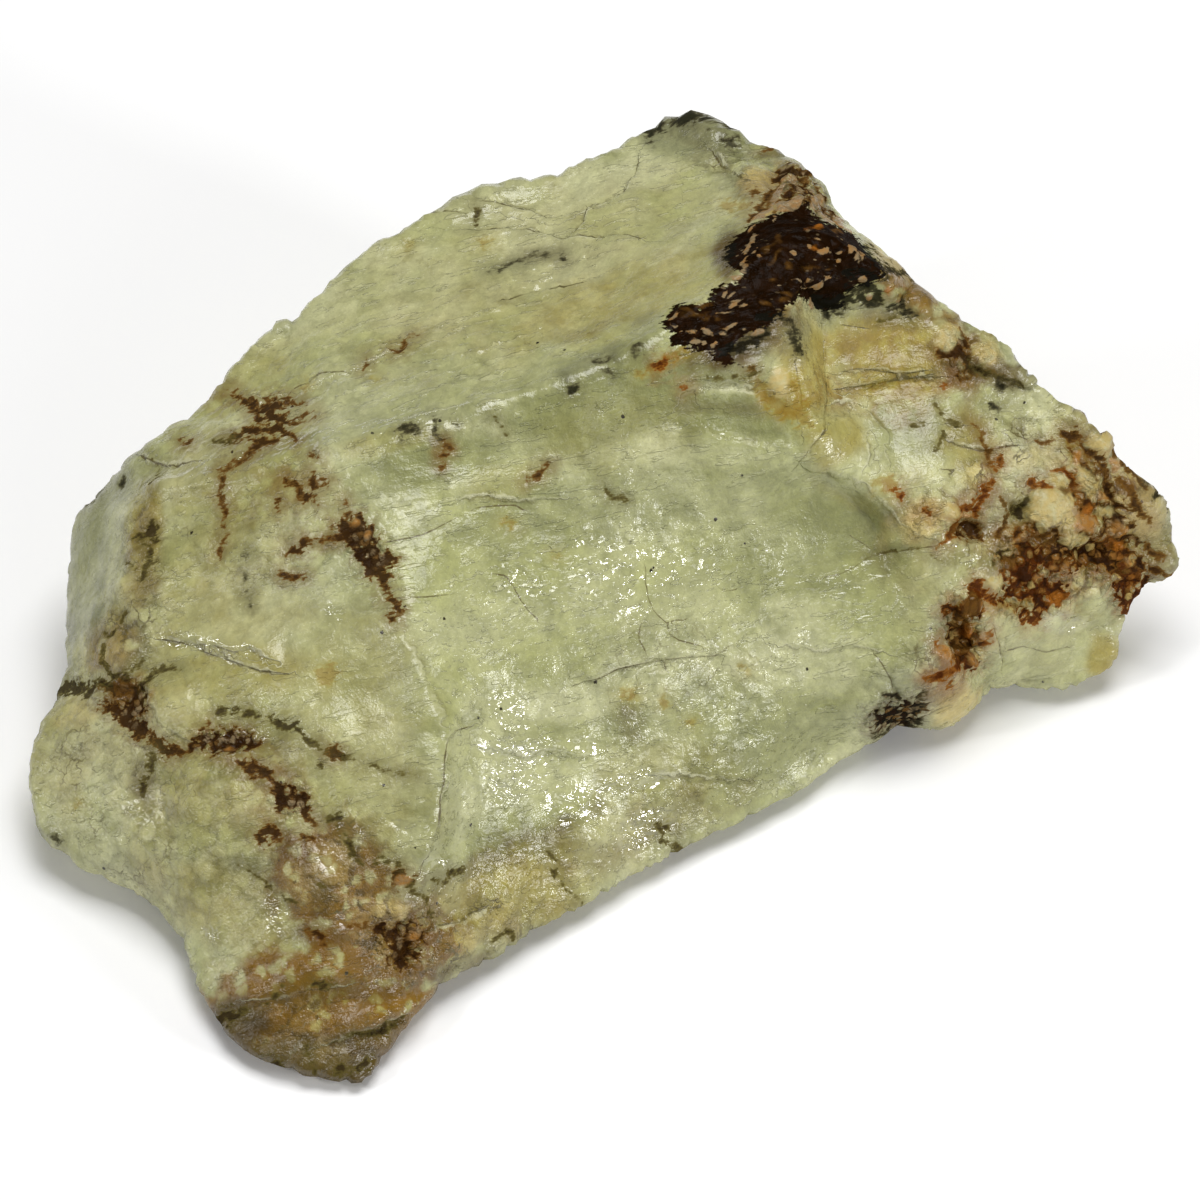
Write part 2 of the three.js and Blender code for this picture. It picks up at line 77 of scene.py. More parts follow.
# Broken steps: height, how far the high side stays raised, and the line. The high side is on its left.
STEPS = [
    (0.8, 7, [(-22.6, -33.4), (-21, -29.5), (-20, -25), (-19.4, -21.4), (-19.7, -18.2), (-18.8, -16.6),
              (-17, -15.9)]),
    (0.45, 6, [(-19.8, -16.5), (-20.6, -13), (-22.4, -8), (-24, -4.5), (-25, -1)]),
    (0.5, 5, [(-15.6, -18.4), (-12, -19), (-10, -19.6), (-7, -18.8), (-5, -18.9), (-3, -19.5),
              (-0.4, -19.2)]),
    (0.4, 6, [(-3.4, -10.6), (0, -9.6), (2, -8.6), (4, -8.2), (8, -7.5), (14, -6.9), (15.4, -6)]),
    (0.35, 5, [(20.6, -9.6), (19.2, -7.4), (16.8, -5.6), (15.4, -6), (14, -7)]),
    (0.3, 3, [(7.7, -7.5), (8, -8.6), (5.4, -9.2)]),
    (0.6, 6, [(24.6, 19.8), (19.4, 19.8), (15.6, 20.4), (13.4, 21.4), (11.4, 22.9)]),
    (0.45, 5, [(9.6, 24.8), (10.4, 26), (12.6, 26.8), (16.4, 27.3), (20, 26.4)]),
    (0.45, 5, [(-54.6, -5), (-51.4, -5.6), (-48, -5.8), (-45, -6.8), (-43.4, -6.4), (-42, -6.8),
               (-39.6, -8)]),
    (0.3, 4, [(-50, -6.3), (-46, -7.6), (-42, -9), (-39, -9.3)]),
    (0.45, 5, [(36.2, 19.8), (35.2, 21.4), (33.4, 23.4), (31, 24.7)]),
    (0.35, 4, [(32.6, 15.8), (33.4, 17.2), (33.2, 19.4)]),
    (0.3, 4, [(36, 17), (35.5, 19.2)]),
    (0.6, 5, [(29.4, 26.3), (33, 26.9), (37, 27.5), (40, 27.8), (43.4, 28)]),
    (0.3, 3, [(30, 28.4), (33.5, 28.9), (38, 28.3), (41.4, 28.8)]),
    (0.35, 3, [(28, 24.2), (31, 24.6), (32.6, 24), (33.8, 23.6)]),
    (0.35, 4, [(24.5, 17.2), (25.6, 18.4), (26.5, 19.6), (27.9, 20.9)]),
    (0.6, 5, [(24.7, 17), (28.6, 16.3), (31.8, 15), (35, 12.8), (37.8, 9.8), (39.6, 8.5), (42, 7.6)]),
    (0.5, 5, [(-14, -37.8), (-17, -39.4), (-20, -40.2), (-22.2, -41.2)]),
    (0.9, 5, [(-34, -55.2), (-30, -53.8), (-27, -52.4), (-24.4, -51.3), (-22.2, -49.2)]),
    (0.45, 5, [(5.2, 55.4), (4.4, 53), (3.2, 51), (1.4, 49.7), (-1.6, 48.8), (-4, 48.1), (-6.4, 47.8),
               (-8.4, 48.4), (-11, 48.9), (-13.6, 49.6)]),
    (0.35, 4, [(5.4, 45), (3, 45.4), (0, 45), (-5, 45), (-7.4, 45.8), (-10.4, 46.2), (-16, 46.2)]),
    (0.4, 3, [(-1.2, 49), (-2, 46.9), (-4.2, 45)]),
    (0.35, 4, [(46.4, 29.6), (48.6, 28.2), (51, 27.1), (54.8, 26.3)]),
    (0.3, 4, [(43, 21.8), (45.2, 21.5)]),
    (0.35, 5, [(43.2, 19.9), (44.8, 19), (47.6, 18.6), (52, 19.2)]),
    (0.35, 3, [(50.4, -8.6), (50, -6), (49.2, -3.4)]),
    (0.3, 4, [(-62, -10.6), (-56.4, -11.4), (-54, -16), (-50, -18)]),
    (0.35, 5, [(-44, -50), (-40, -49.6), (-36, -48.4), (-32, -48)]),
    (0.3, 5, [(-57, 16.8), (-53, 16.4), (-50, 16.9)]),
    (0.4, 4, [(14.6, 55.6), (15.8, 54.2), (17.8, 52.9)]),
    (0.3, 4, [(20.4, 26.2), (14, 26.6), (11, 26)]),
    (0.35, 5, [(6, -21.8), (9.6, -21.6), (13, -22), (18, -22.4)]),
    (0.3, 5, [(-37, 25.8), (-31, 28.3), (-25, 31)]),
    (0.3, 5, [(-20, 11.4), (-15, 13), (-10, 12.4), (-4, 12.8)]),
    (0.3, 5, [(22, -5.6), (27, -6.4), (31, -5.6), (36, -6.8)]),
]

# The crest between the upper face and the front stays a little proud: a chain of short worn edges.
CREST = [
    (-55.4, 13.8), (-50, 14.3), (-45, 15.3), (-39, 17), (-34, 18.4), (-27, 20), (-22, 21), (-14, 22.6),
    (-6, 24.6),
]
CREST_HEIGHT = 0.45
CREST_REACH = 2.2

# Round lumps and hollows: across, up, radius, height. Hollows have a height below nought.
LUMPS = [
    (-60, -7, 2.4, 0.5), (-53, -12.6, 3.8, 0.35), (-36.6, -35, 2.8, 0.4), (56.6, 11.4, 3.4, 0.8),
    (43.4, 11, 1.8, 0.6), (59.4, 8, 2.2, 0.7), (61, 15.4, 2.2, 0.7), (46, 0, 1.7, 1.1),
    (46.2, -3.2, 0.9, 0.7), (46.1, -4.7, 0.8, 0.6), (45.1, -6, 0.9, 0.7), (46, -7.5, 1, 0.7),
    (54, 17.6, 4.4, 0.5), (47.4, 15.4, 3, 0.5), (22.2, 27, 1.7, 0.5), (43.4, 32.4, 2.6, 0.7),
    (48.6, 31.4, 3, 0.6), (62.4, 19.2, 1.8, 0.5), (68, 11, 3.4, 0.6), (44.2, -13, 4.4, 0.5),
    (-26, -38.4, 2.6, 0.5), (-17.6, -42, 3, 0.5), (19.4, 51.6, 2.4, 0.5), (23.8, 49.3, 2, 0.4),
    (44.8, -4.6, 1.8, -0.9), (46, 8.6, 1.9, -0.6), (52.5, 10.8, 1.6, -0.4), (50.6, 6, 1.6, -0.5),
    (61, 6.4, 2.4, -0.6), (-28.6, -43.4, 1.6, -0.4), (-24.6, -44, 2, -0.5), (38.6, 12, 1.8, -0.4),
    (-31, -31, 1.2, -0.4), (36.6, -14, 3, -0.5), (18.4, 31.6, 2, -0.4), (-56.4, 8.2, 1.8, -0.4),
    (-58.6, -13.4, 2, -0.4), (-17.2, -15.2, 1, -0.3),
]

# The outline of the dark iron breccia under the peak.
BRECCIA = [
    (7.6, 34), (9.2, 36.2), (12.4, 36.5), (14, 37.6), (15.1, 39), (17, 39.5), (17.6, 40.3), (16.4, 41.2),
    (15.8, 42.6), (16.4, 44), (17.6, 45.6), (18.6, 46.4), (20, 46.9), (21.6, 47.7), (22.8, 48),
    (23.8, 48.6), (25.2, 48.9), (26.8, 48.2), (28.6, 46.9), (30.2, 46.4), (32, 45.7), (32.8, 44.5),
    (33.8, 43.2), (34.8, 42), (35.4, 41), (34, 39.8), (32.2, 39.4), (30.6, 38.8), (30, 37.2),
    (28.4, 36.2), (27.2, 36.6), (26, 37.4), (25.2, 37.6), (24, 37.8), (22.8, 36.4), (21.8, 35.2),
    (20.8, 34.2), (19.8, 33.4), (18.2, 33.2), (17.2, 32.2), (16.4, 31.4), (16, 30.6), (16.2, 29.9),
    (18.6, 29.4), (15.4, 29.3), (14, 30.4), (12.4, 31), (10.4, 31.6), (9.2, 31.4), (8.4, 32.4), (8.9, 33),
    (8.2, 33.5),
]

# Grains set in the breccia and nodules that stand in the rusty seams: across, up, half length, half height
# and tilt.
GRAINS = {
    "pale_grains": [
        (9.3, 35, 0.7, 0.16, 28), (8.9, 34, 0.5, 0.18, 20), (13.2, 33.5, 0.8, 0.28, -10),
        (11.4, 33.4, 0.45, 0.16, 10), (10.2, 33.4, 0.5, 0.12, 10), (16.2, 34, 0.75, 0.25, 10),
        (15.4, 33.4, 0.4, 0.2, 0), (17.8, 33.8, 0.3, 0.14, 0), (11.7, 32.2, 0.6, 0.36, 15),
        (12.7, 32.2, 0.42, 0.3, 20), (14, 31.6, 0.38, 0.27, 0), (14.6, 32.1, 0.2, 0.16, 0),
        (14.1, 31.1, 0.32, 0.13, 20), (15.4, 38, 0.5, 0.14, 62), (16.2, 37.8, 0.5, 0.14, 45),
        (17.2, 37.2, 0.95, 0.16, 14), (16.6, 36.5, 0.4, 0.22, 20), (17.6, 36.6, 0.5, 0.18, 30),
        (15.4, 35.6, 0.75, 0.12, 5), (17.2, 40, 1, 0.14, 27), (18.1, 41, 0.9, 0.16, 32),
        (18.4, 41.8, 0.9, 0.16, 38), (19.6, 42.9, 0.55, 0.13, 40), (20, 42.3, 0.35, 0.13, 55),
        (18.7, 43.5, 1, 0.36, 68), (19.3, 44.6, 0.8, 0.26, 50), (19, 45.8, 0.5, 0.13, 35),
        (21.8, 47, 0.38, 0.13, 50), (24, 43.2, 0.36, 0.36, 0), (24.4, 40, 0.45, 0.14, 15),
        (25.8, 40.4, 0.27, 0.15, 0), (25.5, 39.5, 0.42, 0.14, -10), (24.9, 39.1, 0.3, 0.13, 0),
        (26.9, 39.45, 0.78, 0.44, 5), (28.2, 40.2, 0.45, 0.28, 0), (27.6, 43.4, 0.75, 0.3, 25),
        (26.2, 43.9, 0.3, 0.2, -50), (26.1, 45.5, 0.3, 0.13, 0), (27.1, 44.7, 0.3, 0.13, 0),
        (29.9, 43.6, 0.3, 0.27, 0), (29.9, 42.5, 0.38, 0.27, 0), (31.3, 43.3, 0.5, 0.34, -20),
        (31.9, 42.7, 0.33, 0.14, 0), (32.5, 42.4, 0.38, 0.14, 20), (32.7, 40.3, 0.58, 0.46, 0),
        (33.6, 38.3, 0.52, 0.42, 0), (22.4, 50.4, 1.35, 0.5, 38), (23.7, 48.9, 1.5, 0.75, 5),
        (20.6, 47.8, 1.6, 0.5, 34), (26.8, 49.4, 0.85, 0.7, -15), (26.2, 50.6, 0.34, 0.22, 30),
        (26.5, 48.6, 0.36, 0.2, 0), (27.5, 48, 0.42, 0.27, -30), (28.6, 47.6, 0.75, 0.5, -30),
        (30, 47.6, 0.8, 0.4, -50), (30.3, 46.7, 0.9, 0.3, -15), (31.4, 46.2, 0.9, 0.27, -20),
        (23, 52, 0.32, 0.3, 0), (23.9, 51.9, 0.36, 0.4, 0), (19.4, 33.2, 0.8, 0.3, 10),
        (26, 37.2, 0.3, 0.9, 0), (36.8, 39.9, 0.8, 0.2, -20), (38.6, 38.4, 1.4, 0.2, -30),
        (37.4, 37.4, 0.8, 0.4, 10),
    ],
    "dim_grains": [
        (20.6, 37, 0.75, 0.36, -20), (22.6, 37.4, 0.42, 0.22, 30), (21.5, 39.8, 0.34, 0.16, 0),
        (22.9, 38.2, 0.5, 0.12, 10), (21.2, 43.5, 0.6, 0.13, 40), (21.8, 42.4, 0.7, 0.12, 40),
        (12, 35.4, 0.75, 0.12, 5), (13.3, 34.9, 0.26, 0.14, 0), (14.6, 34.9, 0.24, 0.14, 0),
        (11, 35.7, 0.5, 0.13, -20), (13, 36.6, 0.7, 0.14, 15), (25.9, 41.5, 0.55, 0.1, 10),
        (28.2, 41.5, 0.25, 0.12, 0), (22.4, 44.9, 0.2, 0.42, 10), (29.5, 45.7, 0.55, 0.36, 0),
        (23.4, 41.6, 0.2, 0.4, 25), (46.1, -0.4, 1, 1.35, 0), (45.1, -6.1, 0.8, 0.6, 0),
        (44.9, -2.4, 1.1, 0.5, 20), (51.1, 4.7, 1.2, 0.7, 10), (53.9, 7.8, 0.85, 0.6, 0),
        (55.9, 7.6, 1.1, 1, 0), (63, 15.9, 1.1, 0.8, -30), (65.5, 14.3, 1.3, 1.2, 0),
        (-59.3, -11.4, 1.3, 1.4, 20),
    ],
    "orange_grains": [
        (27.2, 46.15, 0.75, 0.38, 8), (26.7, 43.7, 0.4, 0.3, 0), (36, 39, 0.5, 0.34, -30),
        (57.1, 0.3, 1, 0.5, 10), (46.3, -3.1, 0.7, 0.5, 0), (46.1, -4.4, 0.5, 0.4, 0),
        (65, 6.6, 0.9, 0.7, 0), (60.9, 11.4, 0.7, 0.4, 60),
    ],
    "pink_grains": [
        (60.2, 10, 1.3, 0.85, 10), (62.6, 13.1, 1.1, 0.5, -20), (65, 8.9, 1.1, 0.9, 0),
        (64.3, 17, 1, 0.6, -35), (58.2, 4.4, 0.6, 0.42, 0), (61, 4.8, 0.5, 0.3, 20),
        (66.1, 4.7, 0.45, 0.45, 0), (47.9, -4.2, 0.9, 0.45, 30), (46, -7.4, 0.6, 0.7, 0),
        (42.7, -6.6, 1.2, 0.85, -10), (45.4, 10.8, 0.7, 0.4, 0), (52.6, 7.5, 0.7, 0.4, 0),
        (56.6, 4.1, 0.6, 0.42, 0), (54.8, 2.9, 0.6, 0.36, 20), (59.6, 18, 0.8, 0.6, 70),
        (-46, -18.6, 0.5, 0.3, 0), (-30.4, 9.4, 0.6, 0.5, 0), (-28.6, 8, 0.5, 0.6, 0),
        (-23.4, -41.4, 0.9, 0.7, 20), (-24.4, -34.8, 0.9, 0.8, 0),
    ],
    "cream_grains": [
        (55.9, 11.7, 2.6, 1.9, 15), (57.4, 14.8, 1.6, 0.8, -10), (60.8, 15, 1.05, 1.6, 15),
        (61.9, 19.4, 1.2, 0.9, 0), (59, 7.7, 1.4, 1, 0), (63.1, 11.1, 0.95, 0.6, 0),
        (49, 2.3, 1.1, 0.9, 0), (43.4, 11, 1.2, 0.8, -10), (47, -6.3, 1.1, 1, 0),
        (22.3, 27, 0.9, 1.5, 10), (43.4, 32.6, 1.7, 1.3, 30), (47.6, 30.6, 1.8, 1.1, -25),
    ],
}

# How far each kind of grain stands proud, in millimetres.
GRAIN_HEIGHTS = {
    "pale_grains": 0.14,
    "dim_grains": 0.2,
    "orange_grains": 0.25,
    "pink_grains": 0.35,
    "cream_grains": 0.3,
}

# Stains, each drawn as a brush goes: points of across, up and half width.
STAINS = {
    # Dark red-brown iron: the star on the upper face, the bent vein below it, the veins of the lower left
    # and the seams of the right end.
    "maroon": [
        [(-43.4, 23.3, 0.3), (-42, 23.6, 0.6), (-40.3, 24.2, 0.7), (-38.6, 24.4, 0.4),
         (-36.6, 24.2, 0.2)],
        [(-42.6, 22.3, 0.5), (-41, 22.5, 0.8), (-39.4, 22.4, 0.6), (-38.4, 21.8, 0.3)],
        [(-43, 20.6, 0.4), (-41.5, 20.8, 0.7), (-39.8, 21, 0.6), (-38.8, 20.2, 0.3), (-37.4, 19.6, 0.15)],
        [(-42.9, 19.4, 0.5), (-41.8, 19.1, 0.6), (-40.2, 19.5, 0.4)],
        [(-43.2, 24, 0.6), (-44.6, 24.7, 0.35), (-45.8, 25.8, 0.3)],
        [(-42.8, 20.8, 0.6), (-44, 20.7, 0.5), (-45.3, 19.7, 0.55), (-46.4, 19.3, 0.35)],
        [(-38.5, 22.3, 0.3), (-37, 22.8, 0.2), (-35.2, 23.3, 0.05)],
        [(-38.6, 21.6, 0.25), (-36.8, 22.1, 0.15), (-34.8, 22.4, 0)],
        [(-42.4, 19, 0.5), (-43.4, 18.2, 0.35), (-44.4, 17, 0.3), (-45.6, 16.3, 0.3),
         (-46.8, 15.6, 0.35)],
        [(-46.6, 15.6, 0.3), (-46.9, 14.2, 0.25), (-46.9, 12.6, 0.35), (-46.6, 11.2, 0.3),
         (-46.8, 9, 0.2), (-46.4, 7.4, 0.25), (-47.2, 6, 0.3), (-47.4, 5, 0.3)],
        [(-51.8, 19.2, 0.4), (-51.2, 19.3, 0.35)],
        [(-35.6, 15.3, 0.35), (-35.2, 14.1, 0.55), (-33.8, 14.5, 0.3)],
        [(-38.9, 14.4, 0.4), (-37.6, 14.2, 0.35), (-37, 13, 0.45), (-36, 12.5, 0.7), (-35, 11.9, 0.3)],
        [(-40, 12.4, 0.5), (-39.8, 11.2, 0.35)],
        [(-35.6, 17.6, 0.3), (-34.8, 17.4, 0.35)],
        [(-38.6, 6, 0.5), (-37.2, 6.2, 0.6), (-36.6, 7.3, 0.35), (-35, 7.4, 0.4), (-33.6, 7.6, 0.4),
         (-32, 7.6, 0.5)],
        [(-31.8, 9, 0.9), (-30.4, 8.6, 1.7), (-29, 7.2, 1.5), (-28.2, 5.6, 1.3), (-27, 4.6, 1.4),
         (-26, 5, 0.7)],
        [(-31.6, 10, 0.5), (-31.2, 11.2, 0.3), (-31.8, 12.2, 0.15)],
        [(-28, 4.2, 1.1), (-27, 3, 0.9), (-26.6, 1.6, 0.5), (-26, 0, 0.5), (-25.2, -1, 0.7),
         (-25.4, -2.8, 0.4)],
        [(-39.2, 3, 0.35), (-38, 2.6, 0.4), (-36.6, 2.8, 0.3)],
        [(-61.6, -10.8, 0.4), (-60, -11.4, 1.1), (-58.8, -10.8, 1), (-57.6, -12.4, 1.1),
         (-58, -14.2, 1.1)],
        [(-61.2, -13.2, 0.7), (-59.4, -14.2, 0.9), (-58, -15.4, 1.1), (-57.2, -16.4, 0.9),
         (-56, -16.8, 0.6)],
        [(-56, -16.8, 0.6), (-54.8, -17.8, 0.5), (-54, -19, 0.8), (-52.8, -19.1, 0.6),
         (-51.4, -18.8, 0.25)],
        [(-51, -18.7, 0.4), (-49, -17.7, 0.8), (-47.4, -17.9, 1.2), (-45.4, -17.6, 1),
         (-43.8, -17.6, 0.9), (-42.4, -17.8, 0.4)],
        [(-49, -16.4, 0.4), (-48.4, -15.6, 0.3)],
        [(-44.8, -20.4, 0.4), (-43.2, -20.8, 0.8), (-41.8, -21.2, 0.7), (-40.8, -22, 0.4),
         (-39.6, -23.6, 0.8), (-38.6, -25, 1.4), (-37.4, -25, 0.9), (-36.6, -26.4, 0.7),
         (-35.6, -27.4, 0.4)],
        [(-33.6, -19.3, 0.4), (-33, -19, 0.7), (-32.4, -19.4, 0.5)],
        [(-25, -34.4, 0.8), (-24.2, -34.8, 0.9)],
        [(-42, -29.6, 0.6), (-40.8, -29.2, 1), (-39.8, -29.8, 0.4)],
        [(-36.6, -29.4, 0.4), (-35.4, -29.6, 0.5)],
        [(-28, -40.8, 0.4), (-26.4, -41.4, 0.8), (-25.2, -42.6, 1), (-24.6, -44, 1.4), (-26, -44.6, 0.6)],
        [(-24.8, -40.4, 0.5), (-23.4, -40.4, 0.8), (-22.6, -41.8, 0.5)],
        [(-36, -41.4, 0.3), (-34.6, -41.8, 0.6), (-34, -43, 0.3)],
        [(-31, -40.6, 0.3), (-29, -40.4, 0.4), (-27.8, -41, 0.4)],
        [(-26.2, 30.4, 0.15), (-25.4, 31, 0.3), (-24.8, 31, 0.45), (-24, 32, 0.2), (-22.8, 33, 0)],
        [(-29.6, 28.4, 0.15), (-29.2, 29, 0.2), (-29, 29.8, 0.1)],
        [(-9.6, 14.6, 0.2), (-8, 15.6, 0.3), (-6.4, 16.8, 0.3)],
        [(-19.4, 19.6, 0.3), (-19, 18.4, 0.4), (-19.8, 16.6, 0.3)],
        [(21.4, 51, 0.3), (20.8, 49.8, 0.3), (20.2, 48.4, 0.35), (19, 47.4, 0.25)],
        [(18.6, 50.6, 0.2), (20, 50.6, 0.3)],
        [(22.4, 52.6, 0.5), (23.6, 53, 0.6), (25.4, 52.6, 0.4)],
        [(24.4, 50.6, 0.35), (25.6, 50.6, 0.4), (27.6, 49, 0.35), (29.6, 47.4, 0.3)],
        [(18.2, 29.3, 0.3), (19, 28.6, 0.25)],
        [(34.8, -15.2, 0.7), (36.6, -14.4, 1.2), (38.4, -13.8, 1.2), (39.8, -12.6, 0.7)],
        [(42.4, 31, 0.5), (44, 30.8, 0.9), (45.6, 30.1, 0.7)],
        [(44.4, 33.3, 0.45), (45.2, 32, 0.6), (46, 31.4, 0.3)],
        [(45, 27.8, 0.35), (46, 28.8, 0.5), (48, 28.6, 0.3), (50.4, 27.6, 0.25)],
        [(45, 8.8, 0.7), (46, 8.7, 0.9), (47, 8.3, 0.6)],
        [(44.4, -2.6, 0.7), (43.8, -4, 0.7), (44.2, -5.4, 0.6), (45.4, -4.9, 0.5)],
        [(57.6, 6.2, 0.3), (59.4, 6, 0.7), (61, 6.4, 0.9), (63, 5.8, 0.9), (64.4, 4.8, 0.4)],
        [(62.4, 16.8, 0.5), (63, 14.8, 0.5), (64, 13.2, 0.4), (65.2, 11.6, 0.3)],
        [(57.8, 21.2, 0.3), (59, 20.6, 0.6), (60.4, 19.9, 0.3), (61, 18.4, 0.3), (62.4, 17.6, 0.5)],
        [(60.4, 23, 0.2), (61.8, 21.4, 0.3), (63.2, 19.8, 0.3), (64.6, 18, 0.2), (66.4, 15.8, 0.2),
         (68, 14, 0.2)],
        [(58.4, 19, 0.15), (60.2, 17.6, 0.25), (61.4, 16, 0.3), (61.6, 14.4, 0.3), (60.6, 13, 0.3)],
        [(64.6, 15.6, 0.3), (66.2, 13.6, 0.35), (66.8, 11.6, 0.3), (68.4, 10.2, 0.2)],
        [(58.9, 13.2, 0.3), (60.6, 12, 0.4), (62.6, 12.2, 0.4), (64.6, 11, 0.5), (66.4, 9.6, 0.3)],
        [(62.4, 8.8, 0.4), (64, 9.6, 0.4), (65.4, 8, 0.5), (66.8, 7.6, 0.4), (68.6, 6.6, 0.3),
         (70.4, 5.8, 0.2)],
        [(67.6, 5.2, 0.4), (69.2, 4.4, 0.35), (70.8, 4.2, 0.25)],
        [(53, 9.6, 0.2), (55, 9.2, 0.35), (56.6, 8.6, 0.4), (57.4, 7.2, 0.4), (58.8, 6.2, 0.5),
         (60.2, 8.4, 0.3)],
        [(60.2, 8.4, 0.3), (60.8, 10.2, 0.35), (59.8, 11.6, 0.3)],
        [(50, 12.8, 0.12), (50.8, 10.8, 0.25), (50.4, 8.8, 0.3), (49.2, 7.4, 0.2)],
        [(54.2, 19.8, 0.1), (55.6, 19.4, 0.2), (57, 20, 0.25)],
        [(46.4, 21.8, 0.15), (47.6, 20.2, 0.25), (48.4, 18.4, 0.25), (48.6, 17, 0.2)],
        [(22.2, 52.8, 0.25), (23, 53.1, 0.4), (24, 53, 0.3)],
        [(22.2, 52.7, 0.3), (22.7, 52, 0.12), (22, 51, 0.12), (21.4, 50, 0.16), (21.3, 49.3, 0.14)],
        [(19.5, 50.4, 0.2), (19.4, 49.4, 0.1), (19.4, 48.6, 0.14), (18.9, 47.9, 0.1), (18.8, 46.8, 0.2)],
        [(19.6, 48.6, 0.3), (20.8, 48.5, 0.3), (21.4, 49.2, 0.16), (22.4, 49.4, 0.2), (23, 50, 0.2),
         (24, 50.3, 0.35), (25.4, 50.2, 0.45), (26.2, 50.1, 0.3)],
        [(22.3, 49.2, 0.16), (22.2, 48, 0.16)],
        [(25.4, 49.2, 0.3), (26, 48.9, 0.16), (27.2, 48.5, 0.14), (28.4, 48.4, 0.2), (29.2, 48.7, 0.2)],
        [(27.8, 50.4, 0.16), (28, 49.2, 0.14), (28.2, 48.4, 0.1)],
        [(24.2, 51.2, 0.14), (24.8, 51.8, 0.14), (25.6, 51.6, 0.2)],
        [(24.6, 50.9, 0.2), (25.4, 51.2, 0.2)],
        [(25.2, 52.6, 0.2), (25.4, 52.2, 0.16)],
        [(26.6, 53, 0.2), (26.9, 52.3, 0.2), (26.6, 51.6, 0.12), (27, 50.8, 0.14)],
        [(22.8, 56.6, 0.12), (20.4, 56.4, 0.12)],
    ],
    # Olive and green-black threads in the cracks.
    "olive": [
        [(-67.6, -11.9, 0.5), (-66.4, -11.4, 0.8), (-65, -11.2, 0.8), (-63.6, -11.5, 0.7),
         (-62.4, -10.5, 0.5), (-61.2, -10.2, 0.4)],
        [(-61.6, -5.8, 0.2), (-61.5, -8, 0.25), (-61, -9.2, 0.3), (-60, -9.6, 0.35), (-58.4, -9.2, 0.3),
         (-57, -8, 0.2), (-56, -7, 0.1)],
        [(-56.4, -11, 0.3), (-55.6, -9.3, 0.35), (-54, -9, 0.4), (-52.2, -8.8, 0.25)],
        [(-58.6, -1.2, 0.2), (-59.6, -2.8, 0.2), (-60.8, -4.4, 0.35), (-61.8, -4.2, 0.2)],
        [(-57.4, 7.6, 0.5), (-56.2, 8.7, 0.7), (-55.6, 7.4, 0.5)],
        [(-55, 5, 0.25), (-56, 4.6, 0.35), (-56.8, 3.4, 0.3), (-57, 2, 0.3), (-56.6, 1.3, 0.1)],
        [(-58.9, 4.5, 0.25), (-58.2, 4.1, 0.25)],
        [(-56.6, 6.6, 0.25), (-56, 5.4, 0.3)],
        [(-55.7, 14, 0.2), (-55.2, 15, 0.2), (-55.4, 17, 0.1)],
        [(-47.9, 19.3, 0.25), (-46.6, 19.2, 0.3), (-45.8, 19.6, 0.3)],
        [(-55.2, -19, 0.3), (-55.4, -20.6, 0.3), (-56.4, -22.4, 0.5), (-56.7, -24.2, 0.3)],
        [(-46.9, -14.4, 0.4), (-45, -13.7, 0.35), (-43, -14.4, 0.35), (-41.6, -15, 0.35),
         (-40.4, -15, 0.5), (-39, -15.8, 0.4), (-38, -15.8, 0.6), (-37, -16.4, 0.3), (-36, -17.4, 0.3),
         (-34.6, -18.6, 0.25)],
        [(-31.7, -19.6, 0.25), (-30.2, -19.7, 0.2)],
        [(-28.2, -20.6, 0.15), (-26.6, -21.2, 0.3), (-25.8, -21.8, 0.15)],
        [(-25, -21.6, 0.05), (-23.4, -21.8, 0.15), (-22.2, -22, 0.12)],
        [(-34.7, -20.4, 0.3), (-34, -21, 0.3)],
        [(-33.5, -27.3, 0.3), (-32.6, -27, 0.5), (-32.3, -28.4, 0.3), (-31.2, -30, 0.25),
         (-30.6, -31, 0.3), (-30.8, -32.2, 0.35), (-29.6, -33, 0.2)],
        [(-28, -32.2, 0.35), (-26.6, -32.4, 0.3), (-25, -32.5, 0.2)],
        [(-44.6, -33, 0.1), (-42.8, -34.2, 0.12), (-41.3, -35.4, 0.35), (-40.4, -36, 0.2),
         (-39.2, -37.2, 0.2), (-37.4, -37.6, 0.05)],
        [(-34.9, -35, 0.25), (-34.2, -36, 0.3)],
        [(-24, -35.4, 0.35), (-23, -36.4, 0.25), (-21.8, -36.8, 0.15)],
        [(-22.1, -37.2, 0.2), (-21.3, -38.8, 0.35)],
        [(-47, -52, 0.8), (-45.4, -51.4, 0.7), (-43.4, -51.2, 0.3)],
        [(-31.6, -54.1, 0.1), (-29, -53.8, 0.3), (-27.4, -53.6, 0.6), (-26.6, -53, 0.35),
         (-24.6, -51.7, 0.1)],
        [(-40.6, -57.4, 0.6), (-39.2, -57.9, 0.5), (-37.8, -58.4, 0.4)],
        [(-36.4, -55.4, 0.3), (-36, -57, 0.25), (-35.4, -58.6, 0.3)],
        [(-32.8, -58.2, 0.45), (-31, -58, 0.45), (-29.6, -58, 0.5), (-28.8, -56.8, 0.3)],
        [(-35.2, -47.8, 0.5), (-33.6, -47.6, 0.4), (-31.6, -47.8, 0.15)],
        [(-41.2, -50.2, 0.2), (-39.6, -48.8, 0.3), (-38.4, -47.8, 0.2)],
        [(-19.2, -34, 0.3), (-18, -33.5, 0.5)],
        [(-21, -34.5, 0.2), (-20, -35, 0.4)],
        [(-14, -42.8, 0.2), (-13.4, -41.3, 0.3), (-12.2, -41.1, 0.3), (-11.4, -42, 0.35),
         (-10.2, -42.8, 0.3)],
        [(-5.8, -33.8, 0.35), (-5.2, -35, 0.25), (-4, -36.2, 0.12), (-2.4, -37.8, 0.05)],
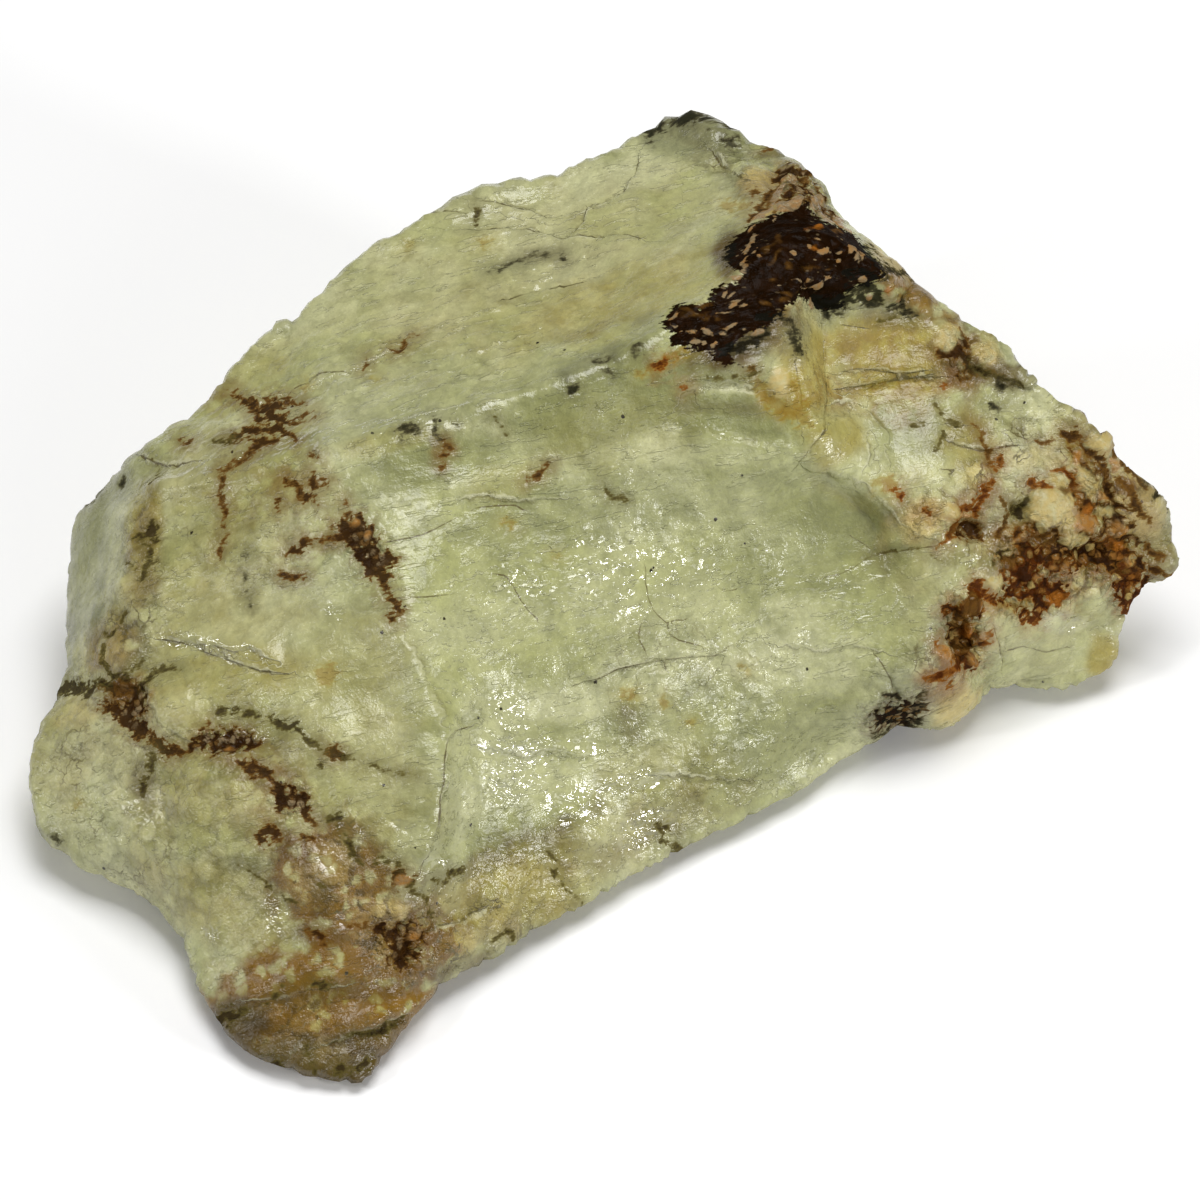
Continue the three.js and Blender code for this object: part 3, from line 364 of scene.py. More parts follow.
        [(-7, -31.4, 0.15), (-5.8, -32.2, 0.3)],
        [(6.6, -28.2, 0.3), (8, -28.5, 0.35), (7.6, -30, 0.4), (9, -30.4, 0.4), (9.8, -31, 0.2)],
        [(-15.6, 47, 0.3), (-15.2, 48.6, 0.2), (-15.8, 49.2, 0.1)],
        [(38.8, 21.4, 0.2), (39.6, 21.6, 0.2), (41, 22, 0.1)],
        [(42.6, 21, 0.25), (42.8, 20, 0.3), (41.9, 18.4, 0.2)],
        [(41.8, 24.4, 0.15), (42.6, 22.8, 0.2), (44.6, 21.7, 0.2)],
        [(46.8, 29.3, 0.3), (48.4, 28.3, 0.3), (50.6, 27.3, 0.35), (52.6, 27, 0.3)],
        [(49, 5, 0.3), (50.2, 6, 0.2), (51.6, 6.4, 0.05)],
        [(40.6, 5.4, 0.15), (41.6, 5.7, 0.2), (42.8, 5, 0.15)],
        [(51.6, 11.6, 0.5), (52.5, 10.9, 1), (53.3, 12.4, 0.5)],
        [(33.6, 5.2, 0), (36, 6, 0.1), (38.4, 6.3, 0.1), (42, 7, 0.05)],
        [(20, 28.4, 0.1), (16, 28, 0.25), (12.6, 27.6, 0.15)],
        [(-13.6, 23, 0.15), (-12.4, 21.4, 0.25), (-12, 20.6, 0.15)],
        [(0.4, 14, 0.15), (1.6, 12.8, 0.25), (3, 12.6, 0.2)],
        [(34.6, 34.8, 0.1), (38, 35.4, 0.15)],
    ],
    # Manganese: black films, dots and the dark rim of the peak.
    "manganese": [
        [(6.2, 58.6, 0.6), (7.4, 59.9, 1), (9, 60.8, 1.2), (10.6, 60.8, 0.9), (11.6, 60.2, 0.5)],
        [(12, 60.8, 0.9), (13.6, 60.7, 1.1), (15.2, 60.1, 0.9), (16.8, 59.2, 0.6), (17.8, 58.2, 0.3)],
        [(8.6, 59.8, 0.4), (10.6, 59.5, 0.6), (13, 59.4, 0.6), (15.2, 58.8, 0.5)],
        [(26.4, 38, 0.7), (28, 37.4, 1), (30, 37.8, 0.8), (31.6, 38.6, 0.7)],
        [(11, 59.4, 0.4), (11.6, 59.2, 0.3)],
        [(15.4, 57, 0.35), (16.8, 56.6, 0.45)],
        [(-24.4, 20.4, 0.5), (-23.4, 20.9, 0.55), (-22.7, 21, 0.35)],
        [(-20.5, 22.1, 0.35), (-20.5, 20.8, 0.3), (-20.1, 20.2, 0.3)],
        [(-18.3, 22, 0.3), (-17.8, 21.8, 0.2)],
        [(-14, 41, 0.1), (-12.4, 41.2, 0.3), (-11, 41.8, 0.2), (-9, 42.6, 0.2), (-6.2, 42.9, 0.12)],
        [(-4.5, 42.3, 0.3), (-3.9, 42.8, 0.2)],
        [(-3.6, 26, 0.35), (-2.9, 26.9, 0.45)],
        [(-0.4, 29.2, 0.3), (0.6, 29.5, 0.25), (1.8, 29.9, 0.1)],
        [(0.6, 28.6, 0.25), (1.6, 28.2, 0.2)],
        [(4.6, 30.4, 0.3), (5.2, 30.9, 0.3)],
        [(24.3, 30.8, 0.45), (24, 32.4, 0.4), (23.4, 34.2, 0.2)],
        [(26.8, 37.4, 0.5), (28.2, 37.2, 0.8), (29.4, 37, 0.7)],
        [(27.6, 36.6, 0.4), (28.2, 35.7, 0.35)],
        [(29.2, 36.4, 0.4), (29.8, 35.6, 0.25)],
        [(27.8, 35.4, 0.2), (28.6, 35.2, 0.2)],
        [(30.6, 39.4, 0.5), (31.8, 38.5, 0.6), (33, 37.8, 0.5), (34.8, 37.5, 0.4)],
        [(32.6, 39.2, 0.6), (34.4, 39, 0.7), (34.6, 38, 0.5)],
        [(30.8, 41, 0.5), (32.4, 41.4, 0.5), (34, 40.6, 0.6)],
        [(36.4, 36.8, 0.5), (37.8, 36.4, 0.6), (39.4, 35.5, 0.3)],
        [(33.2, 43.8, 0.5), (34.4, 41.9, 0.6), (36, 41, 0.5), (38.6, 40.2, 0.3), (40.6, 39, 0.6),
         (41.6, 38, 0.3)],
        [(19.8, 35, 0.5), (21.8, 35.3, 0.35)],
        [(15, 30.8, 0.4), (17, 31.4, 0.7), (19.4, 32.4, 0.7), (21, 33.6, 0.3)],
        [(21, 35.4, 0.3), (22.4, 35.4, 0.4), (23.4, 34.4, 0.3)],
        [(16.4, 42.4, 0.6), (17, 44, 0.35)],
        [(49.1, 24.5, 0.45), (49.5, 24.2, 0.4)],
        [(49.8, 26.9, 0.25), (50.4, 26.7, 0.35), (51.2, 26.5, 0.2)],
        [(68.8, 13, 0.4), (69.2, 12.8, 0.3)],
        [(68, 14.9, 0.25), (69.4, 13.7, 0.3)],
        [(34.6, -16.6, 0.4), (35.2, -15.2, 0.9), (36.8, -14.4, 1.2), (38.4, -13.6, 1), (39.6, -12.4, 0.6),
         (40.2, -11.2, 0.3)],
        [(36, -12.2, 0.4), (37, -12, 0.4)],
        [(39.6, -15, 0.6), (38, -15.2, 0.6)],
        [(-67.6, -29.3, 0.2), (-67.2, -29.9, 0.3)],
        [(-57.2, 18.6, 0.25), (-56.4, 19, 0.15)],
        [(-59.6, 14, 0.3), (-59, 14.8, 0.15)],
        [(-64.2, 11.5, 0.35), (-63.2, 12.8, 0.2), (-62.4, 13.6, 0.15)],
        [(-66.8, -4.4, 0.3), (-66.5, -3, 0.2)],
        [(-43.9, 5.2, 0.3), (-43.6, 5, 0.15)],
        [(-44.2, 3.6, 0.2), (-44, 2, 0.1), (-43.4, -1.2, 0.08)],
    ],
    # Rust: limonite between the nodules of the right end and in the notch, and a few specks.
    "rust": [
        [(50.4, 5, 0.5), (52, 4.4, 1.1), (53.6, 3, 1.5), (54.6, 1.6, 1.6), (56.6, 1.2, 1),
         (57.8, 0.2, 0.7)],
        [(52, 7.4, 0.5), (54, 5.8, 1.3), (56.4, 5.2, 1.2), (58.6, 5, 1), (60.6, 5.8, 1.1), (62.6, 6, 1.3),
         (64.4, 5.4, 1.3)],
        [(64.2, 6.8, 1.3), (65.6, 4.6, 1.8), (66.6, 3, 1.7), (67.8, 4, 0.8)],
        [(66, 2.2, 1.4), (66.4, 0.4, 1.1), (65.6, -0.8, 0.6)],
        [(52.4, 1.2, 0.8), (50.8, 2.6, 0.7), (50, 3.6, 0.3)],
        [(52.8, -1.2, 0.6), (53.6, -2.3, 0.6), (54.8, -1.4, 0.5), (56, -0.4, 0.4)],
        [(51, 0.6, 0.3), (49.6, 0.2, 0.3), (48.2, 0.4, 0.5), (46.8, 1.4, 0.8), (47, 2.6, 0.4),
         (47.8, 2.8, 0.15)],
        [(46.6, 0, 1.3), (45.4, -1.6, 0.7), (45.2, -3.6, 1.1), (44.8, -5.6, 0.9), (45.8, -7.4, 0.9),
         (44.2, -8, 0.5)],
        [(44.2, -8, 0.4), (43.2, -8.8, 0.35), (42, -9.3, 0.4), (40.6, -9.5, 0.2)],
        [(43.8, -9.6, 0.25), (43.2, -10.4, 0.2)],
        [(46.8, -4.4, 0.5), (48, -4.8, 0.3), (48.8, -3.8, 0.3)],
        [(41.9, -5.2, 0.25), (42.2, -6.3, 0.25), (43.6, -7, 0.3)],
        [(42.8, -1, 0.35), (44, -0.8, 0.5), (44.8, -1.6, 0.4)],
        [(56.6, 15.8, 0.15), (57.8, 16.2, 0.3), (58.8, 15.7, 0.4), (59.2, 14.2, 0.5), (59.4, 12.8, 0.5),
         (60.4, 11.6, 0.6), (61.4, 10.4, 0.4)],
        [(53.6, 14.5, 0.3), (55, 14, 0.4), (56.4, 13.8, 0.15)],
        [(49, 14.6, 0.3), (47.8, 13.4, 0.45), (47, 12.2, 0.5), (46.8, 11, 0.4)],
        [(46.6, 11.6, 0.4), (45, 11.7, 0.3), (44, 10.4, 0.25)],
        [(44.6, 9.8, 0.4), (43.8, 8.5, 0.6), (43.2, 7.4, 0.3), (42.4, 6.8, 0.15)],
        [(50.4, 8.1, 0.15), (52, 8.4, 0.3), (53.4, 8.5, 0.5), (54.6, 8, 0.4)],
        [(48.8, 17, 0.3), (49.4, 16.3, 0.4), (49.8, 18, 0.3)],
        [(37.2, 13.5, 0.4), (37.7, 12.5, 0.3)],
        [(39.8, 11.2, 0.25), (41, 11.4, 0.25), (41.4, 10.8, 0.2)],
        [(42.6, 26.6, 0.25), (43.2, 27, 0.3)],
        [(10.2, 26.7, 0.25), (10.9, 26.9, 0.3)],
        [(7, 29.5, 0.2), (8, 29.8, 0.3), (6.7, 28.5, 0.15)],
    ],
    # Ochre: thin yellow-brown films.
    "ochre": [
        [(19.6, 27.6, 0.5), (20.2, 25.9, 0.6), (21.2, 24.5, 0.8), (22.6, 23.8, 0.8), (24, 23.4, 1),
         (25.4, 22.4, 0.8)],
        [(24.8, 23.4, 0.9), (24.6, 25, 0.7), (24.2, 27, 0.4), (23.8, 28.4, 0.25)],
        [(4.6, 28.2, 0.4), (6.2, 28.9, 0.7), (7.6, 29.6, 0.7), (9, 30.4, 0.6), (10.4, 31.3, 0.6)],
        [(34.4, 26.5, 0.4), (35.8, 26.6, 0.5)],
        [(2.6, -11.6, 0.6), (3.6, -11.7, 0.6), (4.4, -12.2, 0.3)],
        [(7.8, -12, 0.4), (8, -12.7, 0.5)],
        [(17.4, -8.2, 0.4), (18.2, -8.8, 0.3)],
        [(10.4, -14.8, 0.2), (11.4, -15.2, 0.3)],
        [(-34.2, -9.4, 1), (-33.2, -9.2, 0.9), (-34.4, -10.6, 0.5)],
        [(-64.7, -25.8, 0.5), (-64.5, -25.8, 0.4)],
        [(16, 49, 0.6), (17.4, 49.4, 0.6), (18.4, 49.2, 0.5)],
        [(-14.6, 44.4, 0.5), (-13.8, 44.9, 0.4)],
        [(-36.8, 26.5, 0.5), (-35.6, 26.7, 0.3)],
        [(-28.4, 27.2, 0.2), (-27.6, 27.2, 0.2)],
        [(-24.4, 44.1, 0.4), (-23.4, 44.4, 0.3)],
        [(61.4, 10.4, 0.6), (63, 10.3, 0.7)],
        [(56.6, 0.6, 0.6), (57.8, 0.2, 0.7)],
        [(34.6, 14, 0.6), (36.4, 14.4, 0.7)],
        [(-5.9, 5.6, 0.3), (-5.4, 5.5, 0.3)],
        [(-12, 9.6, 0.5), (-11, 9.2, 0.5)],
        [(44.6, -0.6, 0.4), (47, -3.4, 0.4), (45.4, -6.2, 0.5)],
        [(50, 0, 0.5), (53, -0.6, 0.5), (56, 7.4, 0.5)],
        [(65.6, 6.8, 0.8), (66.4, 1.6, 0.8)],
        [(58.8, 17, 0.3), (59, 18.8, 0.4), (58.8, 20, 0.3)],
    ],
}

# Hairline cracks, with olive filling; along the steps the dark line is also painted shadow under the edge.
CRACKS = [
    [(-26.4, 7), (-24.6, 7.4), (-22, 8), (-19, 9.6), (-15.4, 11.4), (-13, 11.7), (-10.6, 11.8),
     (-9.6, 11.2)],
    [(5.4, 4.4), (5.4, 3), (5.6, 1), (6.2, -1), (7, -2), (8.2, -3), (8.4, -4.4), (9.6, -5.2),
     (12.2, -5.8)],
    [(8.2, -3), (9, -2.6), (10.2, -2.6)],
    [(-13.6, 3.2), (-12, 3), (-11, 1.6), (-10.2, 0.2), (-9, -1.4), (-8, -2.4)],
    [(-25, 0), (-22, 0.2), (-19, 0.6)],
    [(28, 2.8), (30, 3.2), (32, 4.2), (33.4, 5.2), (36, 6), (39, 6.4), (42, 6.8)],
    [(34.4, 5.8), (33, 7), (31.4, 8)],
    [(34.6, -7), (36, -8.8), (36.6, -10), (36.6, -11.4)],
    [(-3.4, -10.6), (0, -9.6), (2, -8.6), (4, -8.2), (6, -7.8), (8, -7.5), (11, -7.1), (14, -6.9),
     (15.4, -6)],
    [(7.8, -7.5), (8.1, -8.7)],
    [(-19.6, -18), (-20, -22), (-20.6, -27), (-21.6, -31), (-22.6, -33.4)],
    [(-17, -15.9), (-18.8, -16.4), (-19.6, -17.8)],
    [(-54.6, -5), (-51.4, -5.6), (-48, -5.8), (-45, -6.8)],
    [(-50, -6.3), (-46, -7.6), (-42, -9), (-39, -9.3)],
    [(24.4, 17.2), (25.6, 18.4), (26.5, 19.6), (27.9, 20.9), (27.8, 22.4)],
    [(24, 30), (24.4, 28), (25, 25.6), (25, 24.4)],
    [(27.6, 21.6), (27.8, 25), (27.7, 28), (27.6, 32)],
    [(29.2, 26.2), (33, 26.9), (37, 27.5), (40, 27.8), (43.4, 28)],
    [(29.6, 28.4), (31.6, 28.9), (33.5, 28.9), (38, 28.2), (41.4, 28.8)],
    [(-14.6, 49.6), (-13, 49.4), (-11, 48.8), (-8.4, 48.4), (-6.4, 47.8), (-4, 48.1), (-1.6, 48.8),
     (1.4, 49.7), (3.2, 51), (4.4, 53), (5, 55)],
    [(-16, 46.2), (-10.4, 46.2), (-7.4, 45.8), (-5, 45), (0, 45), (3, 45.4), (5.4, 45)],
    [(-1.2, 49), (-2, 46.9), (-4.2, 45)],
    [(-22, 48.2), (-19, 48.4), (-17, 48.2)],
    [(14.4, 55.8), (15.6, 54.2), (17.8, 52.9)],
    [(43.2, 22), (45, 21.6)],
    [(43.2, 19.9), (44.8, 19), (47.6, 18.6), (52, 19.2)],
    [(46.4, 29.6), (48.6, 28.2), (51, 27.1), (54.8, 26.3)],
    [(42.6, 16), (44.2, 16.2), (43.6, 15.4)],
    [(50.2, -7.6), (49.8, -5.4), (49.2, -3.4)],
    [(51, -5.9), (53, -5.4), (56, -6.2), (58.6, -5.6)],
    [(-38, 26), (-35, 27.8), (-32, 28.2), (-30, 28)],
    [(-56.6, 16.8), (-53, 16.4), (-50, 16.9)],
    [(-34, -55.2), (-30, -53.8), (-27, -52.4), (-24.4, -51.3)],
    [(38, -16), (42, -13), (43.4, -12.4)],
    [(-14, -37.8), (-17, -39.4), (-20, -40.2), (-22.2, -41.2)],
    [(-12, 37), (-8, 38.4), (-2, 39.4)],
    [(14.6, 1.8), (15, 1), (16.6, 1.2)],
    [(4.8, -3.4), (4.6, -5), (5.4, -6.4)],
    [(30.2, 34.4), (33, 34)],
]

# Soft tints: across, up, half length, half height, tilt in degrees, strength.
TINTS = {
    # Lemon yellow-olive in the notch, the upper band and the left edge.
    "lemon": [
        (3, 37, 19, 5, 16, 0.45), (-16, 35, 14, 5, 16, 0.2), (37, 30, 10, 6, 3, 0.85),
        (26, 28, 3.4, 8.5, 8, 0.7), (29.4, 20.6, 4.4, 4.6, 0, 0.6), (-56.6, 8, 2.6, 8, -8, 0.7),
        (-61.6, -5, 4, 6, -35, 0.6), (46, 20, 4, 5, 0, 0.6), (-44, 9, 10, 7, 0, 0.35),
        (-45, 26, 10, 5, 35, 0.35), (63, -6.6, 2.4, 3, 0, 0.7), (-36, -8.6, 5, 4, 0, 0.4),
        (-38, 13, 6, 4, 0, 0.35), (-26, 19.6, 10, 1.6, 12, 0.4), (-12, 15, 8, 3, 15, 0.3),
        (69, 8, 3, 4, 0, 0.4), (31, 26, 6, 2, 0, 0.5), (-68, -20, 5, 9, 10, 0.35),
        (-36, -52, 14, 7, 0, 0.7), (-46, -38, 14, 6, -30, 0.5), (-44, -9, 12, 5, 0, 0.5),
        (-12, -37, 15, 6, 25, 0.7), (30, 13.4, 6, 1.4, -25, 0.3), (2, 21, 13, 6, 8, 0.25),
        (8, -22, 10, 6, 15, 0.3), (-38, 12, 8, 6, 0, 0.3), (-50, -12, 18, 30, 0, 0.42),
        (-34, -14, 14, 16, 0, 0.35), (-32, -28, 14, 22, 0, 0.35), (-46, 16, 14, 7, 30, 0.4),
        (0, -30, 22, 5, 25, 0.4), (-66, 0, 5, 14, 0, 0.3),
    ],
    # Deeper, clearer green where the stone is glassy; also painted shade on a flat plate and under a scar.
    "glassy_and_shade": [
        (30, 9, 9.4, 6, -24, 0.95), (2, 25, 18, 5.6, 15, 1), (-20, 17, 12, 4, 15, 0.85),
        (20, -18, 13, 6, 27, 0.9), (-12, -30, 9, 8, 20, 0.6), (20, 20, 14, 7, 0, 0.45),
        (-3, 12, 20, 7, 8, 0.65), (40, 4, 5, 8, 0, 0.3), (14, -13, 10, 5, 20, 0.6),
        (6, -10, 34, 20, 20, 0.3), (-21, -20, 11, 24, -8, 0.25), (30, -2, 14, 10, 0, 0.3),
        (41, -4, 2.6, 3.4, 0, 0.6), (15, 23.4, 10, 3, -6, 1.15), (22, 12, 16, 6, -4, 0.55),
        (0, 15, 14, 4, 6, 0.3), (-29, -6, 8, 10, 20, 0.45), (-24, -27, 4, 7, -8, 0.55),
        (-3, -7, 4.6, 2.8, 20, 0.6), (57, -6, 6, 3, 0, 0.4), (34, -1, 9, 6, 0, 0.35),
        (-22, -20, 3, 8, 0, 0.4), (-30, -24, 6, 5, 0, 0.3), (9, -16, 8, 5, 0, 0.35),
        (3.6, -15, 3, 4.4, 10, 0.9), (25, 4, 13, 6, 0, 0.7), (-26.6, -28, 3.4, 10, -6, 0.4),
        (-20.6, -28, 3.6, 10, -8, 0.7), (38, 21, 5, 5, 0, 0.8),
    ],
    # Cool greyish: painted shade and sheen on the steep left side; smoky stain round the peak and below the
    # breccia.
    "grey_and_shade": [
        (-64.4, 4, 4.6, 16, -14, 0.9), (-60, 14, 6, 3, 42, 0.6), (11, 57.4, 6.4, 2.6, -4, 0.95),
        (17, 31, 5, 2, 0, 0.8), (16, 43.6, 2.4, 3.6, 0, 0.8), (18.4, 31.6, 3.6, 1.7, 8, 0.8),
        (-1.6, 29, 6, 1.2, 28, 0.6), (44, -12.6, 5, 3.4, 25, 0.3), (-9, 42.2, 6, 1.3, 14, 0.6),
        (4, -15, 3, 4, 0, 0.3), (-3, -28.6, 5, 1.8, -25, 0.25), (36, -12, 4.4, 3.6, 20, 0.7),
        (24, 34, 2, 3, 0, 0.6), (33, 36.4, 6, 1.2, 0, 0.7), (48, -5, 1.6, 3, 0, 0.4),
        (-26, 23, 9, 2, 18, 0.25), (42.6, -3.4, 2.2, 3.4, 0, 0.6), (6, 34, 3, 1.6, 20, 0.6),
        (-42, 17.6, 5, 1.6, 12, 0.4), (8, 11, 10, 3, 0, 0.25), (-45, -30, 5, 5, 0, 0.2),
        (38, 21, 4, 4, 0, 0.2), (46, 24, 4, 2.6, 0, 0.3),
    ],
    # Pinkish tan: clay and iron soaked into the stone.
    "tan": [
        (38, 39, 5, 2.4, -38, 0.9), (42, 35.4, 5, 2, -38, 0.6), (38, 25, 6, 5, 0, 0.4),
        (29, 26, 5, 4, 0, 0.4), (20, 34.6, 5, 3.4, 30, 0.9), (36, 31, 9, 4, 0, 0.35),
        (31, 27, 7, 5, 0, 0.35), (43, -9, 3, 5, -10, 0.7), (-60.6, -6, 4, 4, 0, 0.5),
        (-40, 14, 9, 5, 10, 0.25), (-33, -34.6, 8, 8, -20, 0.9), (-28, -42, 10, 5.4, 0, 1.1),
        (-34, -51.6, 16, 9, 4, 1.15), (-58.6, -12, 3.4, 3.4, 0, 0.8), (63, 14, 2.6, 8, 34, 0.6),
        (58, 5.4, 10, 4.4, -8, 0.7), (45.6, 29, 4, 4.6, 0, 0.6), (46, -3, 3.4, 6, 0, 0.55),
        (-38, 14, 4.6, 3, 0, 0.35), (-34, 8, 5, 3, 0, 0.3), (-44, -19, 8, 3, -8, 0.35),
        (-24.4, -46.6, 4, 3.6, 20, 0.7), (-47, 24, 3, 2, 0, 0.3), (23, 25, 4, 2.6, -20, 0.5),
        (-41, 18.4, 6, 2.4, 12, 0.3), (-36, -58, 10, 3, 0, 0.8), (-57, 5, 2.6, 6, 0, 0.3),
        (44, 11, 4, 4, 0, 0.35), (26, 51, 4, 4, -40, 0.3), (-19.4, 18.4, 2, 3, 0, 0.4),
        (-40, -24, 6, 5, -30, 0.35),
    ],
    # Cream: chalky magnesite nodules.
    "cream": [
        (56.6, 11.4, 3.3, 2.8, 0, 1), (66.4, 12, 4, 5, 30, 0.9), (-8, 41, 34, 12, 18, 0.25),
        (52, 9, 20, 22, 0, 0.25), (30, 34, 15, 12, 0, 0.25), (36.4, 8.6, 1.8, 3, -20, 0.5),
        (43.2, 11, 1.8, 1.4, -20, 1), (60.6, 15.4, 1.8, 2, 0, 0.9), (22.3, 27, 1.2, 1.7, 0, 1.2),
        (40.4, 10, 2.2, 3.6, -32, 0.85), (-53, -13, 3.6, 3.2, 0, 0.25), (-36.8, -35, 2.6, 2.6, 0, 0.35),
        (47.6, 15.6, 3, 2.4, 20, 0.6), (54, 17.6, 5, 2, 0, 0.5), (20, 52, 3.4, 1.8, 0, 0.9),
        (23.8, 49.3, 2, 1, 20, 1.1), (26.8, 49.6, 1, 0.8, -30, 1.1), (21.4, 48, 1.2, 0.6, 20, 1),
        (43.4, 32.6, 2, 1.8, 30, 0.8), (59, 8, 1.8, 1.6, 0, 0.9), (62.4, 19, 1.8, 1.4, -30, 0.9),
        (-26, -38.4, 2.4, 1.6, 0, 0.7), (28.6, 47.6, 1.2, 0.6, -40, 1), (-60, -7, 2, 2, 0, 0.6),
        (-17.4, -42, 3, 1.6, 0, 0.4), (66, 15, 2.6, 2, -30, 0.6), (48, 30.6, 2.6, 1.6, -25, 0.5),
        (-58, 1, 2, 2.6, 0, 0.35), (39.6, 3, 2.4, 3.6, 0, 0.3), (50, -1, 2.4, 1.2, 0, 0.5),
        (-44, -25.6, 6, 3.6, 0, 0.3), (36, 42.6, 3.6, 1.4, -42, 0.9), (-65, -14, 4, 3, 20, 0.4),
        (40, 15.4, 3, 2, 0, 0.3), (44.4, -12.4, 4, 2.6, 30, 0.75), (40.4, 10, 2.6, 3.4, -30, 1),
    ],
    # Pale, cloudy green; also painted sheen on the bright rough ground of the front below its cracks.
    "cloud_and_sheen": [
        (-5, -13, 7, 2.6, 6, 0.8), (-2, 41.4, 13, 2.6, 16, 0.5), (-58, -33, 9, 4, -30, 0.6),
        (-62, -12, 6, 14, 0, 0.65), (-66, -24, 5, 9, 10, 0.6), (-8, -22, 8, 5, 10, 0.6),
        (6, 1, 12, 5.6, 4, 0.35), (26, -8, 8, 4, 0, 0.6), (-14, -3, 8, 6, 0, 0.4), (17, -8, 3, 2, 0, 0.7),
        (5, 53.4, 6, 3, 16, 0.9), (-42, 0, 12, 4.6, 0, 0.45), (30, 18, 5, 3, 0, 0.5),
        (-30, 34, 7, 3, 25, 0.3), (-6, 43.6, 7, 1.6, 8, 0.5), (-2, 50.6, 6, 2, 20, 0.4),
        (14, 51, 6, 5, 20, 0.35), (-61, -20, 8, 7, 0, 0.75), (53, 17.4, 6, 4, 0, 0.9),
        (56, -6, 6, 3, 0, 0.4), (14, 18, 12, 1.6, 0, 0.4), (5.4, -28, 8, 3, 10, 0.3),
        (-24, 28, 10, 3, 15, 0.3), (-13, 27.6, 10, 1.6, 18, 0.35), (15, 26.6, 4, 0.7, -4, 0.9),
        (-46, -42, 6, 3, -20, 0.3), (36, 17, 4, 4, 0, 0.3),
    ],
    # Dull brown-olive round the veins, and painted shade on the tip and lobes that turn from the light.
    "murk_and_shade": [
        (-38, -57.6, 13, 3.6, 4, 1.15), (19.6, 34, 4.6, 3, 30, 0.9), (15, 31, 7, 2.6, 10, 0.9),
        (16.4, 42.8, 2.2, 3.6, -10, 0.9), (-18, -45.4, 5, 1.6, 25, 0.6), (12, 57.8, 5, 1.6, -6, 0.3),
        (-44, -52.6, 4, 3.4, -20, 1.1), (-33, -48.6, 11, 2, 4, 0.5), (-27, -54.6, 7, 3, 20, 0.55),
        (-35, -41.6, 5, 2, 0, 0.55), (-38, -48, 6, 2, 20, 0.4), (-37, -31.6, 5, 2, -40, 0.5),
        (-34.6, -38, 1.6, 4, 0, 0.5), (-5, -31, 11, 3.4, -8, 0.4), (3.6, -15, 2, 3, 10, 0.45),
        (-47, 17, 8, 2.4, 15, 0.2), (-20, -37, 7, 5, 0, 0.35), (-56.6, 8, 1.3, 4.4, -8, 0.6),
        (38, 35, 6, 1.6, 0, 0.5), (8, -27, 8, 4, 10, 0.3), (52.4, 11.4, 2, 2, 0, 0.4),
        (51, 28, 5, 1.6, -20, 0.6), (-40, -17.6, 10, 2.4, -12, 0.3), (-10, -40, 6, 2.6, 20, 0.35),
        (44.6, 30, 2.6, 2.6, 0, 0.5), (16, -25, 8, 2, 25, 0.3), (0, 33, 7, 1.4, 20, 0.25),
        (-56.4, -22, 2, 3.6, 0, 0.45), (-10, -30.4, 14, 2, 24, 0.5), (46.4, 21, 3.4, 4, 0, 0.4),
        (15, 24, 7, 1.6, -6, 0.4), (-45, -35, 5, 5, 0, 0.2), (40, 29, 3, 2, 0, 0.3),
        (30.6, 31, 1.4, 2.4, 0, 0.25),
    ],
}

# Where the stone is built of nodules, and where of small pebbles: the same six numbers as a tint.
NODULAR = [
    (56, 12, 13, 13, 0, 1), (45, 30, 6, 5, 0, 0.8), (-33, -34, 10, 8, 0, 0.8), (-46, -24, 10, 5, 0, 0.5),
    (-60, -6, 5, 10, -20, 0.8), (-63, -19, 8, 8, 0, 0.5), (-50, -30, 18, 13, -20, 0.45),
    (-42, 6, 14, 8, 0, 0.3), (-24, -43, 8, 5, 0, 0.9), (-13, -40, 6, 4, 0, 0.7), (22, 52, 9, 4, -20, 1),
    (-38, -54, 12, 5, 0, 0.6), (43, -8, 6, 5, 0, 0.5), (8, -26, 9, 5, 20, 0.35), (40, 11, 5, 4, 0, 0.5),
    (-56.6, 6, 3, 8, 0, 0.7), (6, -8, 12, 8, 0, 0.25), (66, 8, 6, 10, 0, 0.8),
]
PEBBLY = [
    (58, 5, 9.6, 4.2, -6, 1), (65.6, 3.6, 3.6, 5, 0, 1), (53.4, 1, 4, 3.4, 0, 1),
    (45.4, -3.4, 2.8, 6.4, 12, 1), (63.4, 12.4, 2.6, 7, 30, 0.7), (26, 51, 3.4, 4.4, 40, 1),
    (40.4, 10.6, 3, 3.4, -30, 0.6), (-29, 6.6, 3, 3.4, 30, 0.7), (-58, -13, 3, 4, 20, 0.7),
    (-46.6, -17.8, 5, 1.8, 0, 0.8), (-38.6, -25, 3, 3, -40, 0.7), (-25, -42, 4, 4, 0, 0.8),
    (45, 30, 3, 4, 20, 0.6), (36.6, -13.6, 4, 3, 20, 0.7), (54, 7.4, 4, 2, 0, 0.8),
]
# Rough patches where the scales are sharpest.
SCALY = [
    (-8, -20, 9, 6, 0, 1), (10, -23, 14, 4, 20, 0.8), (-25, 28, 26, 6, 18, 1), (0, 4, 20, 6, 5, 0.8),
    (-15, 34, 20, 6, 18, 0.7), (32, -7, 8, 3, 0, 0.9), (-38, 21, 14, 4, 18, 0.8),
    (18, -12, 10, 4, 0, 0.5),
]
